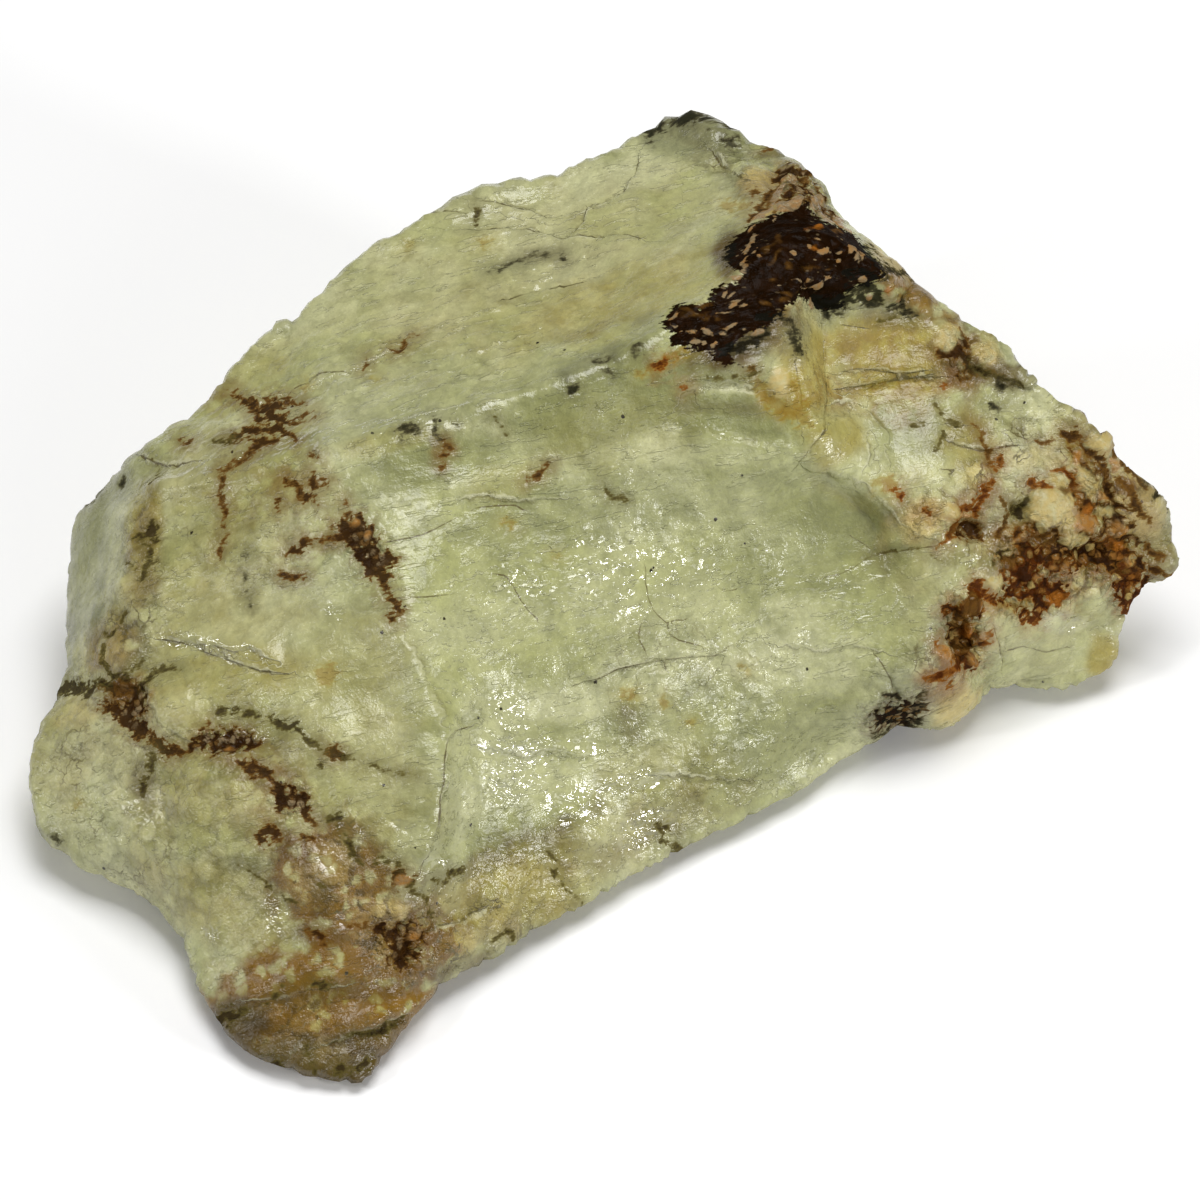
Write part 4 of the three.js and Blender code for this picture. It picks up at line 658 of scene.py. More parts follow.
# Smooth patches where the break is clean.
CLEAN = [
    (30, 9, 11, 7, -24, 1), (35, 32, 9, 4, 0, 1), (-38, -4, 13, 6, 0, 0.8), (57, -6, 6, 3.4, 0, 1),
    (16, 24, 7, 2, -6, 1), (-46, -36, 9, 9, 0, 0.8), (-27, -12, 6, 12, 0, 0.5), (46, 24, 8, 4, 0, 0.5),
    (8, 40, 10, 4, 16, 0.6), (-64, 4, 4, 14, -14, 0.6), (39, 20, 9, 6, 0, 0.8),
]
# Clean, wet-looking breaks that throw small sharp glints.
WET = [
    (-11.4, -14.6, 3.6, 2.2, -50, 1), (-8, -18.4, 8, 1.4, 0, 1), (-10.4, -21.8, 4.4, 3, 30, 1),
    (-3.6, -25.6, 4.4, 2.8, -20, 1), (5, -22.4, 4.6, 1.5, 10, 1), (5.4, -28.2, 4.4, 2.6, 30, 0.9),
    (-40, -38.4, 1.6, 1.6, 0, 1), (-40.2, -41.4, 0.8, 1.4, 0, 1), (-47.6, -41.7, 2.2, 0.7, -30, 1),
    (-48, -6.2, 7, 1.4, -10, 1), (-33, -2, 1.6, 1.6, 0, 0.8), (-31, -28.6, 2, 1.4, -30, 1),
    (-24, -28.2, 1.9, 0.8, -25, 1), (-34, -32, 1.6, 2.6, 30, 0.8), (-32, -39.6, 0.7, 1.2, 0, 0.9),
    (-44.6, -17.6, 5, 1.2, 0, 0.7), (-21, -32.4, 1.4, 0.7, 0, 0.9), (-33, 20, 22, 1.6, 13, 0.7),
    (-26, 29, 20, 4, 18, 0.3), (0, 3, 16, 5, 0, 0.5), (12, 21.4, 6, 1, -6, 0.7), (-56, -26, 4, 3, 0, 0.5),
    (46, 7, 4, 3, 0, 0.6), (-8, 39, 12, 3, 16, 0.2), (31, 0, 8, 6, 0, 0.4), (58, -2.6, 4, 1.4, 0, 0.7),
    (-59, -10.8, 1.6, 2, 0, 0.6),
]
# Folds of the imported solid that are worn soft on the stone.
WORN_SOFT = [(39.4, 3, 4.4, 12, 0, 1), (25, 24, 3, 5, 0, 0.35), (-20, -24, 2, 6, 0, 0.2)]
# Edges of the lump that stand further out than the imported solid.
SWELLS = [
    (-48, 27, 9, 2.4, 40, 0.9), (8.6, 60.4, 1.6, 1.4, 0, 0.7), (13.6, 60.2, 1.8, 1.4, 0, 0.6),
    (-58, 18, 5, 2.4, 40, 1.1), (-16, 50, 7, 2.2, 20, 0.4), (-65.4, 6.4, 2.4, 9, -12, 0.6),
    (-55, 20, 5, 2.4, 42, 1.2), (-69.6, -31, 2.4, 3, 0, 0.8), (-39.6, 34.4, 1.8, 1.2, 20, 0.9),
    (14, 58.8, 5, 2, -14, 1.7), (25, 51.6, 4, 2, -42, 1), (62, 21.4, 4, 2, -42, 0.7),
    (-17, -43, 9, 2.6, 26, 0.6), (68, 12, 3, 3, -40, 0.5), (71, 4, 2, 3, 0, 0.7),
    (66.6, -2, 2, 3, 0, 0.8),
]
# Where the skin is halved once more, for its small marks.
FINE = [
    (25, 41, 14, 8, -20, 1), (14, 34, 8, 5, 10, 1), (25, 49.6, 6, 5, -40, 1), (57, 6, 12, 9, 0, 1),
    (61, 15, 6, 6, 0, 1), (45.6, -2, 3.6, 8, 0, 1), (44, 10, 4, 4, 0, 1), (-29.6, 6, 5, 6, 0, 1),
    (-41, 21, 6, 5.6, 0, 1), (-59, -13, 4, 5, 0, 1), (-45, -19.4, 9, 4.4, -20, 1),
    (-25, -42, 4.4, 4.4, 0, 1), (37, -13.6, 4, 3, 20, 1),
]


def linear(code):
    """A colour written as sRGB hex, as the linear red, green and blue that shaders take, and full alpha."""
    parts = [int(code[place : place + 2], 16) / 255 for place in (1, 3, 5)]
    return tuple(p / 12.92 if p <= 0.04045 else ((p + 0.055) / 1.055) ** 2.4 for p in parts) + (1.0,)


def smooth(low, high, values):
    """0 below low, 1 above high and a soft rise between them."""
    share = np.clip((values - low) / (high - low), 0, 1)
    return share * share * (3 - 2 * share)


def wander(points, width, seed, layers=1):
    """A smooth random height at each point, about -1 to 1, with bumps of this width in millimetres."""
    places = (points / width + seed).tolist()
    if layers == 1:
        return np.array([noise.noise(place) for place in places])
    return np.array([noise.fractal(place, 1.0, 2.0, layers) for place in places])


def cells(points, width, seed):
    """Round cells of this width: each point's distance from its cell's wall, in millimetres, and a number
    from 0 to 1 that is its cell's own."""
    wall = np.empty(len(points))
    tint = np.empty(len(points))
    for i, place in enumerate((points / width + seed).tolist()):
        distances, centres = noise.voronoi(place)
        wall[i] = (distances[1] - distances[0]) * width * 0.5
        # The sine of a cell's place, scrambled, serves as its number.
        tint[i] = (math.sin(centres[0].dot((12.9898, 78.233, 37.719))) * 43758.5453) % 1.0
    return wall, tint


def along(line, across, up):
    """For each point: its distance from the line, its side (1 on the left) and its place along the line."""
    line = np.array(line, float)
    lengths = np.hypot(*(line[1:, :2] - line[:-1, :2]).T)
    before = np.concatenate(([0], np.cumsum(lengths)[:-1]))
    nearest = np.full(len(across), np.inf)
    side = np.ones(len(across))
    place = np.zeros(len(across))
    for start, end, length, passed in zip(line[:-1], line[1:], lengths, before):
        run = (end[:2] - start[:2]) / length
        ahead = np.clip((across - start[0]) * run[0] + (up - start[1]) * run[1], 0, length)
        aside = across - start[0] - ahead * run[0]
        above = up - start[1] - ahead * run[1]
        distance = np.hypot(aside, above)
        closer = distance < nearest
        nearest[closer] = distance[closer]
        side[closer] = np.where(run[0] * above - run[1] * aside >= 0, 1, -1)[closer]
        place[closer] = ((passed + ahead) / lengths.sum())[closer]
    return nearest, side, place


def brushed(line, across, up):
    """How far inside a brushed stain each point is, in millimetres, below nought outside, and the brush's
    half width there."""
    line = np.array(line, float)
    inside = np.full(len(across), -np.inf)
    broad = np.zeros(len(across))
    for start, end in zip(line[:-1], line[1:]):
        run = end[:2] - start[:2]
        share = np.clip(((across - start[0]) * run[0] + (up - start[1]) * run[1]) / (run @ run), 0, 1)
        width = start[2] + share * (end[2] - start[2])
        depth = width - np.hypot(across - start[0] - share * run[0], up - start[1] - share * run[1])
        broad = np.where(depth > inside, width, broad)
        inside = np.maximum(inside, depth)
    return inside, broad


def enclosed(outline, across, up):
    """How far inside a closed outline each point is, in millimetres; below nought is outside."""
    corners = np.array(outline, float)
    within = np.zeros(len(across), bool)
    for start, end in zip(corners, np.roll(corners, -1, axis=0)):
        spans = (start[1] > up) != (end[1] > up)
        rise = end[1] - start[1] if end[1] != start[1] else 1e-9
        crossing = start[0] + (up - start[1]) * (end[0] - start[0]) / rise
        within ^= spans & (across < crossing)
    distance = along(list(outline) + [outline[0]], across, up)[0]
    return np.where(within, distance, -distance)


def ovals(rows, across, up):
    """For each tilted oval in turn: its row, and each point's distance from its middle, 1 at its edge."""
    for row in rows:
        middle_across, middle_up, length, height, tilt = row[:5]
        cos, sin = math.cos(math.radians(tilt)), math.sin(math.radians(tilt))
        aside, above = across - middle_across, up - middle_up
        lengthwise = (aside * cos + above * sin) / length
        crosswise = (above * cos - aside * sin) / height
        yield row, np.hypot(lengthwise, crosswise)


def patches(rows, across, up, fray):
    """Soft tilted ovals, the strongest one at each point. Each fades from half way out to a third past its
    edge."""
    total = np.zeros(len(across))
    for row, distance in ovals(rows, across, up):
        total = np.maximum(total, row[5] * (1 - smooth(0.45, 1.35, distance + fray)))
    return total


def grains(rows, across, up, fray):
    """How far inside a grain each point is, in millimetres, and a dome of height 1 over each grain."""
    inside = np.full(len(across), -FAR)
    dome = np.zeros(len(across))
    for row, distance in ovals(rows, across, up):
        inside = np.maximum(inside, (1 - distance * (1 + fray)) * min(row[2], row[3]))
        dome = np.maximum(dome, np.sqrt(np.clip(1 - distance**2, 0, 1)))
    return inside, dome


def ease(points, edges, share, rounds):
    """Draw points towards their neighbours' middle, as wear does, each by its own share from 0 to 1."""
    ends = np.concatenate((edges[:, 0], edges[:, 1]))
    others = np.concatenate((edges[:, 1], edges[:, 0]))
    neighbours = np.bincount(ends, minlength=len(points))
    for _ in range(rounds):
        middle = [np.bincount(ends, points[others, axis], len(points)) / neighbours for axis in range(3)]
        points = points + share[:, None] * (np.stack(middle, axis=1) - points)
    return points


class Surface:
    """The skin's points in the sheet's millimetres."""

    def __init__(self, places, normals):
        self.points = places / MM
        self.normals = normals
        offset = self.points - SHEET_MIDDLE
        self.across = offset @ SHEET_ACROSS
        self.up = offset @ SHEET_UP
        self.out = offset @ SHEET_OUT
        self.sheet = np.stack((self.across, self.up, self.out), axis=1)
        self.facing = normals @ SHEET_OUT
        self.shown = smooth(0.0, 0.3, self.facing)


def rounded_skin(node):
    """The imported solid's mesh, welded and rounded once into a smooth skin whose sharp edges stay crisp."""
    # Edges that bend up to 24 degrees are rounded off. Over the next 50 they are kept more and more crisp.
    blunt = 24
    span = 50
    crispest = 0.65
    skin = bmesh.new()
    skin.from_mesh(node.data)
    bmesh.ops.remove_doubles(skin, verts=skin.verts, dist=1e-6)
    crease = skin.edges.layers.float.new("crease_edge")
    for edge in skin.edges:
        keen = math.degrees(edge.calc_face_angle(0.0))
        edge[crease] = min(max((keen - blunt) / span, 0), crispest)
    mesh = bpy.data.meshes.new("welded_skin")
    skin.to_mesh(mesh)
    skin.free()
    rough = bpy.data.objects.new("welded_stone", mesh)
    bpy.context.scene.collection.objects.link(rough)
    division = rough.modifiers.new("rounding", "SUBSURF")
    division.levels = 1
    evaluated = rough.evaluated_get(bpy.context.evaluated_depsgraph_get())
    rounded = bpy.data.meshes.new_from_object(evaluated)
    bpy.data.objects.remove(rough)
    bpy.data.meshes.remove(mesh)
    return rounded


def halved_where_marked(mesh, rounds):
    """Halve the skin's edges on the show side, then once more where its marks are small."""
    skin = bmesh.new()
    skin.from_mesh(mesh)
    bmesh.ops.triangulate(skin, faces=skin.faces)
    for turn in range(rounds):
        skin.normal_update()
        skin.verts.index_update()
        places = np.array([corner.co for corner in skin.verts])
        surface = Surface(places, np.array([corner.normal for corner in skin.verts]))
        if turn == 0:
            wanted = surface.facing > -0.05
        else:
            wanted = (patches(FINE, surface.across, surface.up, 0) > 0.5) & (surface.facing > 0.05)
        wanted &= surface.points[:, 2] > BASE_EDGE
        edges = [edge for edge in skin.edges if all(wanted[end.index] for end in edge.verts)]
        bmesh.ops.subdivide_edges(skin, edges=edges, cuts=1, use_grid_fill=True)
        bmesh.ops.triangulate(skin, faces=[face for face in skin.faces if len(face.verts) > 3])
    skin.to_mesh(mesh)
    skin.free()


def keep(mesh, name, values):
    """Store a number or a place for each of the skin's points, for the material to read."""
    kind, part = ("FLOAT", "value") if values.ndim == 1 else ("FLOAT_VECTOR", "vector")
    attribute = mesh.attributes.new(name, kind, "POINT")
    attribute.data.foreach_set(part, values.astype(np.float32).ravel())


def lay_out(surface):
    """Each point's place across and up the sheet, bent a little as cracks in stone run, and led far astray
    on the sides that turn away."""
    bend = 0.4
    turn = 5.0
    away = 1 - surface.shown
    across = surface.across + bend * wander(surface.sheet, 2.0, seed=11.3, layers=2)
    up = surface.up + bend * wander(surface.sheet, 2.0, seed=47.9, layers=2)
    across += away * turn * wander(surface.sheet, 24, seed=3.1)
    up += away * turn * wander(surface.sheet, 24, seed=8.7)
    return across, up


def drawn_out(surface, angle, stretch):
    """The surface's places with the streaks' direction pulled long, so that patterns run along it."""
    cos, sin = math.cos(math.radians(angle)), math.sin(math.radians(angle))
    lengthwise = surface.across * cos + surface.up * sin
    crosswise = surface.up * cos - surface.across * sin
    return np.stack((lengthwise / stretch, crosswise, surface.out), axis=1)


def scales(surface, angle):
    """Overlapping scales left by the break: slow ramps along the streaks, each ending in a short drop."""
    stretch = 3.2
    row_height = 4.2
    place = drawn_out(surface, angle, stretch)
    climb = 1.6 * wander(place, 2.2, seed=5.5, layers=3) + place[:, 1] / row_height
    ramp = climb - np.floor(climb)
    return ramp * (1 - smooth(0.9, 1.0, ramp)) - 0.4


def steps(across, up):
    """The broken steps: each rises sharply at its line and sinks back away from it. Also how far each
    point is from the nearest line, above nought on its high side."""
    height = np.zeros(len(across))
    scarp = np.full(len(across), FAR)
    for rise, reach, line in STEPS:
        distance, side, place = along(line, across, up)
        # A step fades at its ends, rises within 0.3 mm and has a shallow trough along its low side.
        ends = smooth(0, 0.12, place) * smooth(0, 0.12, 1 - place)
        signed = distance * side
        faded = signed + np.where(side > 0, 1, -1) * (1 - ends) * 0.6
        scarp = np.where(np.abs(faded) < np.abs(scarp), faded, scarp)
        edge = smooth(-0.15, 0.15, signed) * (1 - smooth(0.3, reach, signed))
        foot = -0.35 * smooth(-0.5 * reach, -0.1, signed) * (signed < 0.1)
        height += rise * ends * (edge + foot * (1 - smooth(-0.1, 0.1, signed)))
    return height, scarp


def lumps(across, up, fray):
    """The round lumps and hollows."""
    height = np.zeros(len(across))
    for middle_across, middle_up, radius, rise in LUMPS:
        share = np.hypot(across - middle_across, up - middle_up) / radius * (1 + 0.5 * fray)
        height += rise * np.sqrt(np.clip(1 - share**2, 0, 1)) * (1 - smooth(0.7, 1.0, share) * 0.5)
    return height


def brush_on(mesh, across, up):
    """Keep how far inside each stain every point is, and the brush's half width there. Return how far
    inside any stain each point is, in millimetres."""
    stain = np.full(len(across), -FAR)
    brush = np.zeros(len(across))
    for name, lines in STAINS.items():
        depth = np.full(len(across), -FAR)
        for line in lines:
            inside, broad = brushed(line, across, up)
            depth = np.maximum(depth, inside)
            brush = np.where(inside > stain, broad, brush)
            stain = np.maximum(stain, inside)
        keep(mesh, name, depth)
    keep(mesh, "brush", brush)
    return stain


def nearest_crack(surface):
    """Each point's distance from the nearest crack, in millimetres, and the same with a sign for its side,
    so that it passes through nought at the crack."""
    crack = np.full(len(surface.across), FAR)
    crack_side = crack.copy()
    for line in CRACKS:
        distance, side, _ = along(line, surface.across, surface.up)
        closer = distance < crack
        crack[closer] = distance[closer]
        crack_side[closer] = (distance * side)[closer]
    return crack, crack_side


def carve(surface, mesh, sizes):
    """Work out the height that the marks give the skin, in millimetres. Keep what the material needs."""
    crack_depth = 0.2
    breccia_relief = 0.22
    breccia_sink = 0.1
    across, up = lay_out(surface)
    sheet = surface.sheet
    shown = surface.shown
    in_view = shown > 0.05
    fray = 0.28 * wander(sheet, 5.0, seed=21.7, layers=3)
    rough = wander(sheet, 1.1, seed=63.2, layers=2)
    for name, rows in {**TINTS, "wet": WET, "clean": CLEAN}.items():
        keep(mesh, name, patches(rows, across, up, fray))
    stain = brush_on(mesh, across, up)
    crack, crack_side = nearest_crack(surface)
    crack = np.where(in_view, crack, FAR)
    breccia = enclosed(BRECCIA, across, up)
    # The sides that turn away have nodules too, in groups.
    hidden_nodules = 0.55 * (1 - shown) * smooth(-0.1, 0.35, fray * 2)
    nodular = np.maximum(patches(NODULAR, across, up, fray), hidden_nodules)
    pebbly = patches(PEBBLY, across, up, fray)
    nodule_wall, nodule_tint = cells(sheet + 0.5 * fray[:, None], sizes.nodule_width / MM, seed=2.7)
    pebble_wall, pebble_tint = cells(sheet + 0.3 * rough[:, None], sizes.pebble_width / MM, seed=9.1)
    for name, values in {
        "crack_side": crack_side,
        "crack_near": crack,
        "breccia": breccia,
        "nodular": nodular,
        "pebbly": pebbly,
        "nodule_wall": nodule_wall,
        "nodule_tint": nodule_tint,
        "sheet": sheet,
        "drawn_out": drawn_out(surface, (UPPER_STREAK + FRONT_STREAK) / 2, 4.5),
    }.items():
        keep(mesh, name, values)

    in_breccia = smooth(-0.3, 0.4, breccia)
    clean = patches(CLEAN, across, up, fray)
    broken = 0.5 + 0.9 * patches(SCALY, across, up, fray) - 0.6 * clean - 0.5 * nodular - 0.5 * in_breccia
    patchy = smooth(-0.35, 0.35, wander(sheet, 9, seed=33.3)) * 0.7 + 0.3
    above_crest = smooth(-2, 3, surface.up - np.interp(surface.across, *zip(*CREST)))
    scale = scales(surface, FRONT_STREAK) * (1 - above_crest)
    scale += scales(surface, UPPER_STREAK) * above_crest
    height = sizes.scale_height / MM * np.clip(broken, 0.08, 1.3) * patchy * scale
    # Swells 6.5 mm wide, and knobs 1.9 mm and grit 1.1 mm wide that are stronger where the stone is lumpy.
    # All are weaker where the break is clean.
    lumpy = np.maximum(nodular, pebbly)
    height += 0.32 * (1 - 0.6 * clean) * wander(sheet, 6.5, seed=71.1, layers=2)
    height += (0.08 + 0.12 * lumpy) * (1 - 0.6 * clean) * wander(sheet, 1.9, seed=15.5, layers=2)
    height += (0.03 + 0.08 * lumpy) * (1 - 0.7 * clean) * rough
    step_height, scarp = steps(across, up)
    keep(mesh, "scarp", np.where(in_view, scarp, FAR))
    height += shown * (step_height + lumps(across, up, fray))
    crest_gap, _, crest_place = along(CREST, surface.across, surface.up)
    here_and_there = smooth(-0.3, 0.3, wander(sheet, 3.0, seed=90.5)) * smooth(0, 0.1, 1 - crest_place)
    height += CREST_HEIGHT * here_and_there * shown * (1 - smooth(0, CREST_REACH, crest_gap))
    height += sizes.nodule_height / MM * nodular * (smooth(0, 1.5, nodule_wall) - 0.6)
    pebble_dome = smooth(0, 0.55, pebble_wall) * (0.5 + pebble_tint)
    height += sizes.pebble_height / MM * pebbly * (pebble_dome - 0.6)
    height -= sizes.vein_depth / MM * smooth(-0.3, 0.4, stain) * (1 - in_breccia)
    height -= crack_depth * (1 - smooth(0, 0.4, crack))
    bed = wander(sheet * (0.55, 1, 1), 1.2, seed=4.4, layers=2)
    height += in_breccia * (breccia_relief * bed - breccia_sink)
    for name, rows in GRAINS.items():
        loose = 0.35 if name == "pale_grains" else 1.0
        inside, dome = grains(rows, across, up, loose * (1.1 * fray + 0.3 * rough))
        keep(mesh, name, np.where(in_view, inside, -FAR))
        height += GRAIN_HEIGHTS[name] * shown * dome
    height += patches(SWELLS, surface.across, surface.up, 0) + sizes.fullness / MM

    # The relief fades out towards the base, and under the stone it is weaker.
    level = smooth(-0.97, -0.8, surface.normals[:, 2]) * smooth(0.2, 2.5, surface.points[:, 2])
    below = surface.normals[:, 2] < -0.5
    return height * np.where(below, level * 0.6, smooth(-0.2, 2.0, surface.points[:, 2]))


def shape_stone(mesh, sizes):
    """Wear the skin soft in its folds, then move its points by the carved heights. The base stays flat."""
    sharp_angle = 62
    count = len(mesh.vertices)
    places = np.empty(count * 3)
    mesh.vertices.foreach_get("co", places)
    places = places.reshape(-1, 3)
    normals = np.empty(count * 3)
    mesh.vertex_normals.foreach_get("vector", normals)
    surface = Surface(places, normals.reshape(-1, 3))
    edges = np.empty(len(mesh.edges) * 2, np.int64)
    mesh.edges.foreach_get("vertices", edges)
    edges = edges.reshape(-1, 2)
    above_base = (surface.points[:, 2] > BASE_EDGE).astype(float)
    places = ease(places, edges, 0.6 * above_base, 1)
    soft = patches(WORN_SOFT, surface.across, surface.up, 0) * surface.shown * above_base
    places = ease(places, edges, soft, sizes.wear)
    mesh.vertices.foreach_set("co", places.ravel())
    mesh.update()
    mesh.vertex_normals.foreach_get("vector", normals)
    surface = Surface(places, normals.reshape(-1, 3))
    height = carve(surface, mesh, sizes)
    moved = (surface.points + surface.normals * height[:, None]) * MM
    moved[:, 2] = np.maximum(moved[:, 2], 0)
    mesh.vertices.foreach_set("co", moved.ravel())
    mesh.update()
    mesh.shade_smooth()
    mesh.set_sharp_from_angle(angle=math.radians(sharp_angle))


# A MapRange that starts and ends softly.
EASED = {"interpolation_type": "SMOOTHSTEP"}


def add(tree, kind, inputs=(), output=None, **settings):
    """Add a node with its settings, set or link its inputs by name or in order, and return an output."""
    node = tree.nodes.new("ShaderNode" + kind)
    for name, value in settings.items():
        setattr(node, name, value)
    if isinstance(inputs, dict):
        pairs = [(node.inputs[name], value) for name, value in inputs.items()]
    else:
        pairs = zip([socket for socket in node.inputs if socket.enabled], inputs)
    for socket, value in pairs:
        if isinstance(value, bpy.types.NodeSocket):
            tree.links.new(value, socket)
        else:
            socket.default_value = value
    if output:
        return node.outputs[output]
    return next((socket for socket in node.outputs if socket.enabled), node)


def tinted(tree, colour, layers):
    """Lay soft tints over a colour in turn: each a tint, the number that shows it, where that starts and
    ends, and its strongest share."""
    for tint, number, low, high, most in layers:
        share = add(tree, "MapRange", (number, low, high, 0.0, most), **EASED)
        colour = add(tree, "Mix", (share, colour, tint), data_type="RGBA")
    return colour


def product(tree, *numbers):
    """Several numbers multiplied together."""
    result = numbers[0]
    for number in numbers[1:]:
        result = add(tree, "Math", (result, number), operation="MULTIPLY")
    return result


def kept_fields(tree):
    """The numbers that carve() kept on the skin, by name."""
    names = ["crack_side", "crack_near", "breccia", "nodular", "pebbly", "nodule_wall", "nodule_tint"]
    names += ["wet", "clean", "scarp", "brush", *TINTS, *STAINS, *GRAINS]
    return {name: add(tree, "Attribute", (), "Fac", attribute_name=name) for name in names}


def stone_patterns(tree):
    """Random patterns that the stone's colours and relief share, with their real widths in millimetres."""
    sheet = add(tree, "Attribute", (), "Vector", attribute_name="sheet")
    drawn = add(tree, "Attribute", (), "Vector", attribute_name="drawn_out")
    pattern = {"sheet": sheet}
    for name, place, width, detail in (
        ("clouds", sheet, 16, 4),
        ("puffs", sheet, 5, 4),
        ("mottle", sheet, 3.4, 4),
        ("fine", sheet, 0.9, 3),
        ("tiny", sheet, 0.32, 2),
        ("streaks", drawn, 1.0, 3),
        ("strands", drawn, 0.42, 2),
    ):
        inputs = {"Vector": place, "Scale": 1 / width, "Detail": detail, "Roughness": 0.58}
        pattern[name] = add(tree, "TexNoise", inputs)
    # The break's small scarps: short dashes along the streaks.
    pattern["dashes"] = add(tree, "MapRange", (pattern["streaks"], 0.585, 0.635, 0.0, 1.0), **EASED)
    # Places pushed about so that cells get uneven walls: by about a millimetre, and by a quarter of one.
    bend = add(tree, "TexNoise", {"Vector": sheet, "Scale": 1 / 2.4, "Detail": 4.0}, "Color")
    bent = add(tree, "VectorMath", (bend, (3.6, 3.6, 3.6), sheet), operation="MULTIPLY_ADD")
    frayed = add(tree, "TexNoise", {"Vector": sheet, "Scale": 1 / 0.8, "Detail": 2.0}, "Color")
    frayed = add(tree, "VectorMath", (frayed, (0.9, 0.9, 0.9), sheet), operation="MULTIPLY_ADD")
    # Plates 3.2 mm wide, curds of magnesite 2.2 mm wide and crumbs 1.1 mm wide.
    for name, place, width in (("plates", bent, 3.2), ("curds", bent, 2.2), ("crumbs", frayed, 1.1)):
        node = add(tree, "TexVoronoi", {"Vector": place, "Scale": 1 / width}).node
        pattern[name] = node.outputs["Distance"]
        pattern[name + "_number"] = add(tree, "SeparateColor", (node.outputs["Color"],)).node.outputs
    # A net of hairlines, cells 2.6 mm wide.
    pattern["net"] = add(tree, "TexVoronoi", {"Vector": bent, "Scale": 1 / 2.6}, feature="DISTANCE_TO_EDGE")
    # How far marks fray at their edges, in millimetres: about nought on the whole.
    fray = add(tree, "Math", (pattern["fine"], 1.4, -0.7), operation="MULTIPLY_ADD")
    fray = add(tree, "Math", (pattern["tiny"], 0.8, fray), operation="MULTIPLY_ADD")
    fray = add(tree, "Math", (pattern["strands"], 2.4, fray), operation="MULTIPLY_ADD")
    pattern["fray"] = add(tree, "Math", (fray, 1.6), operation="SUBTRACT")
    return pattern


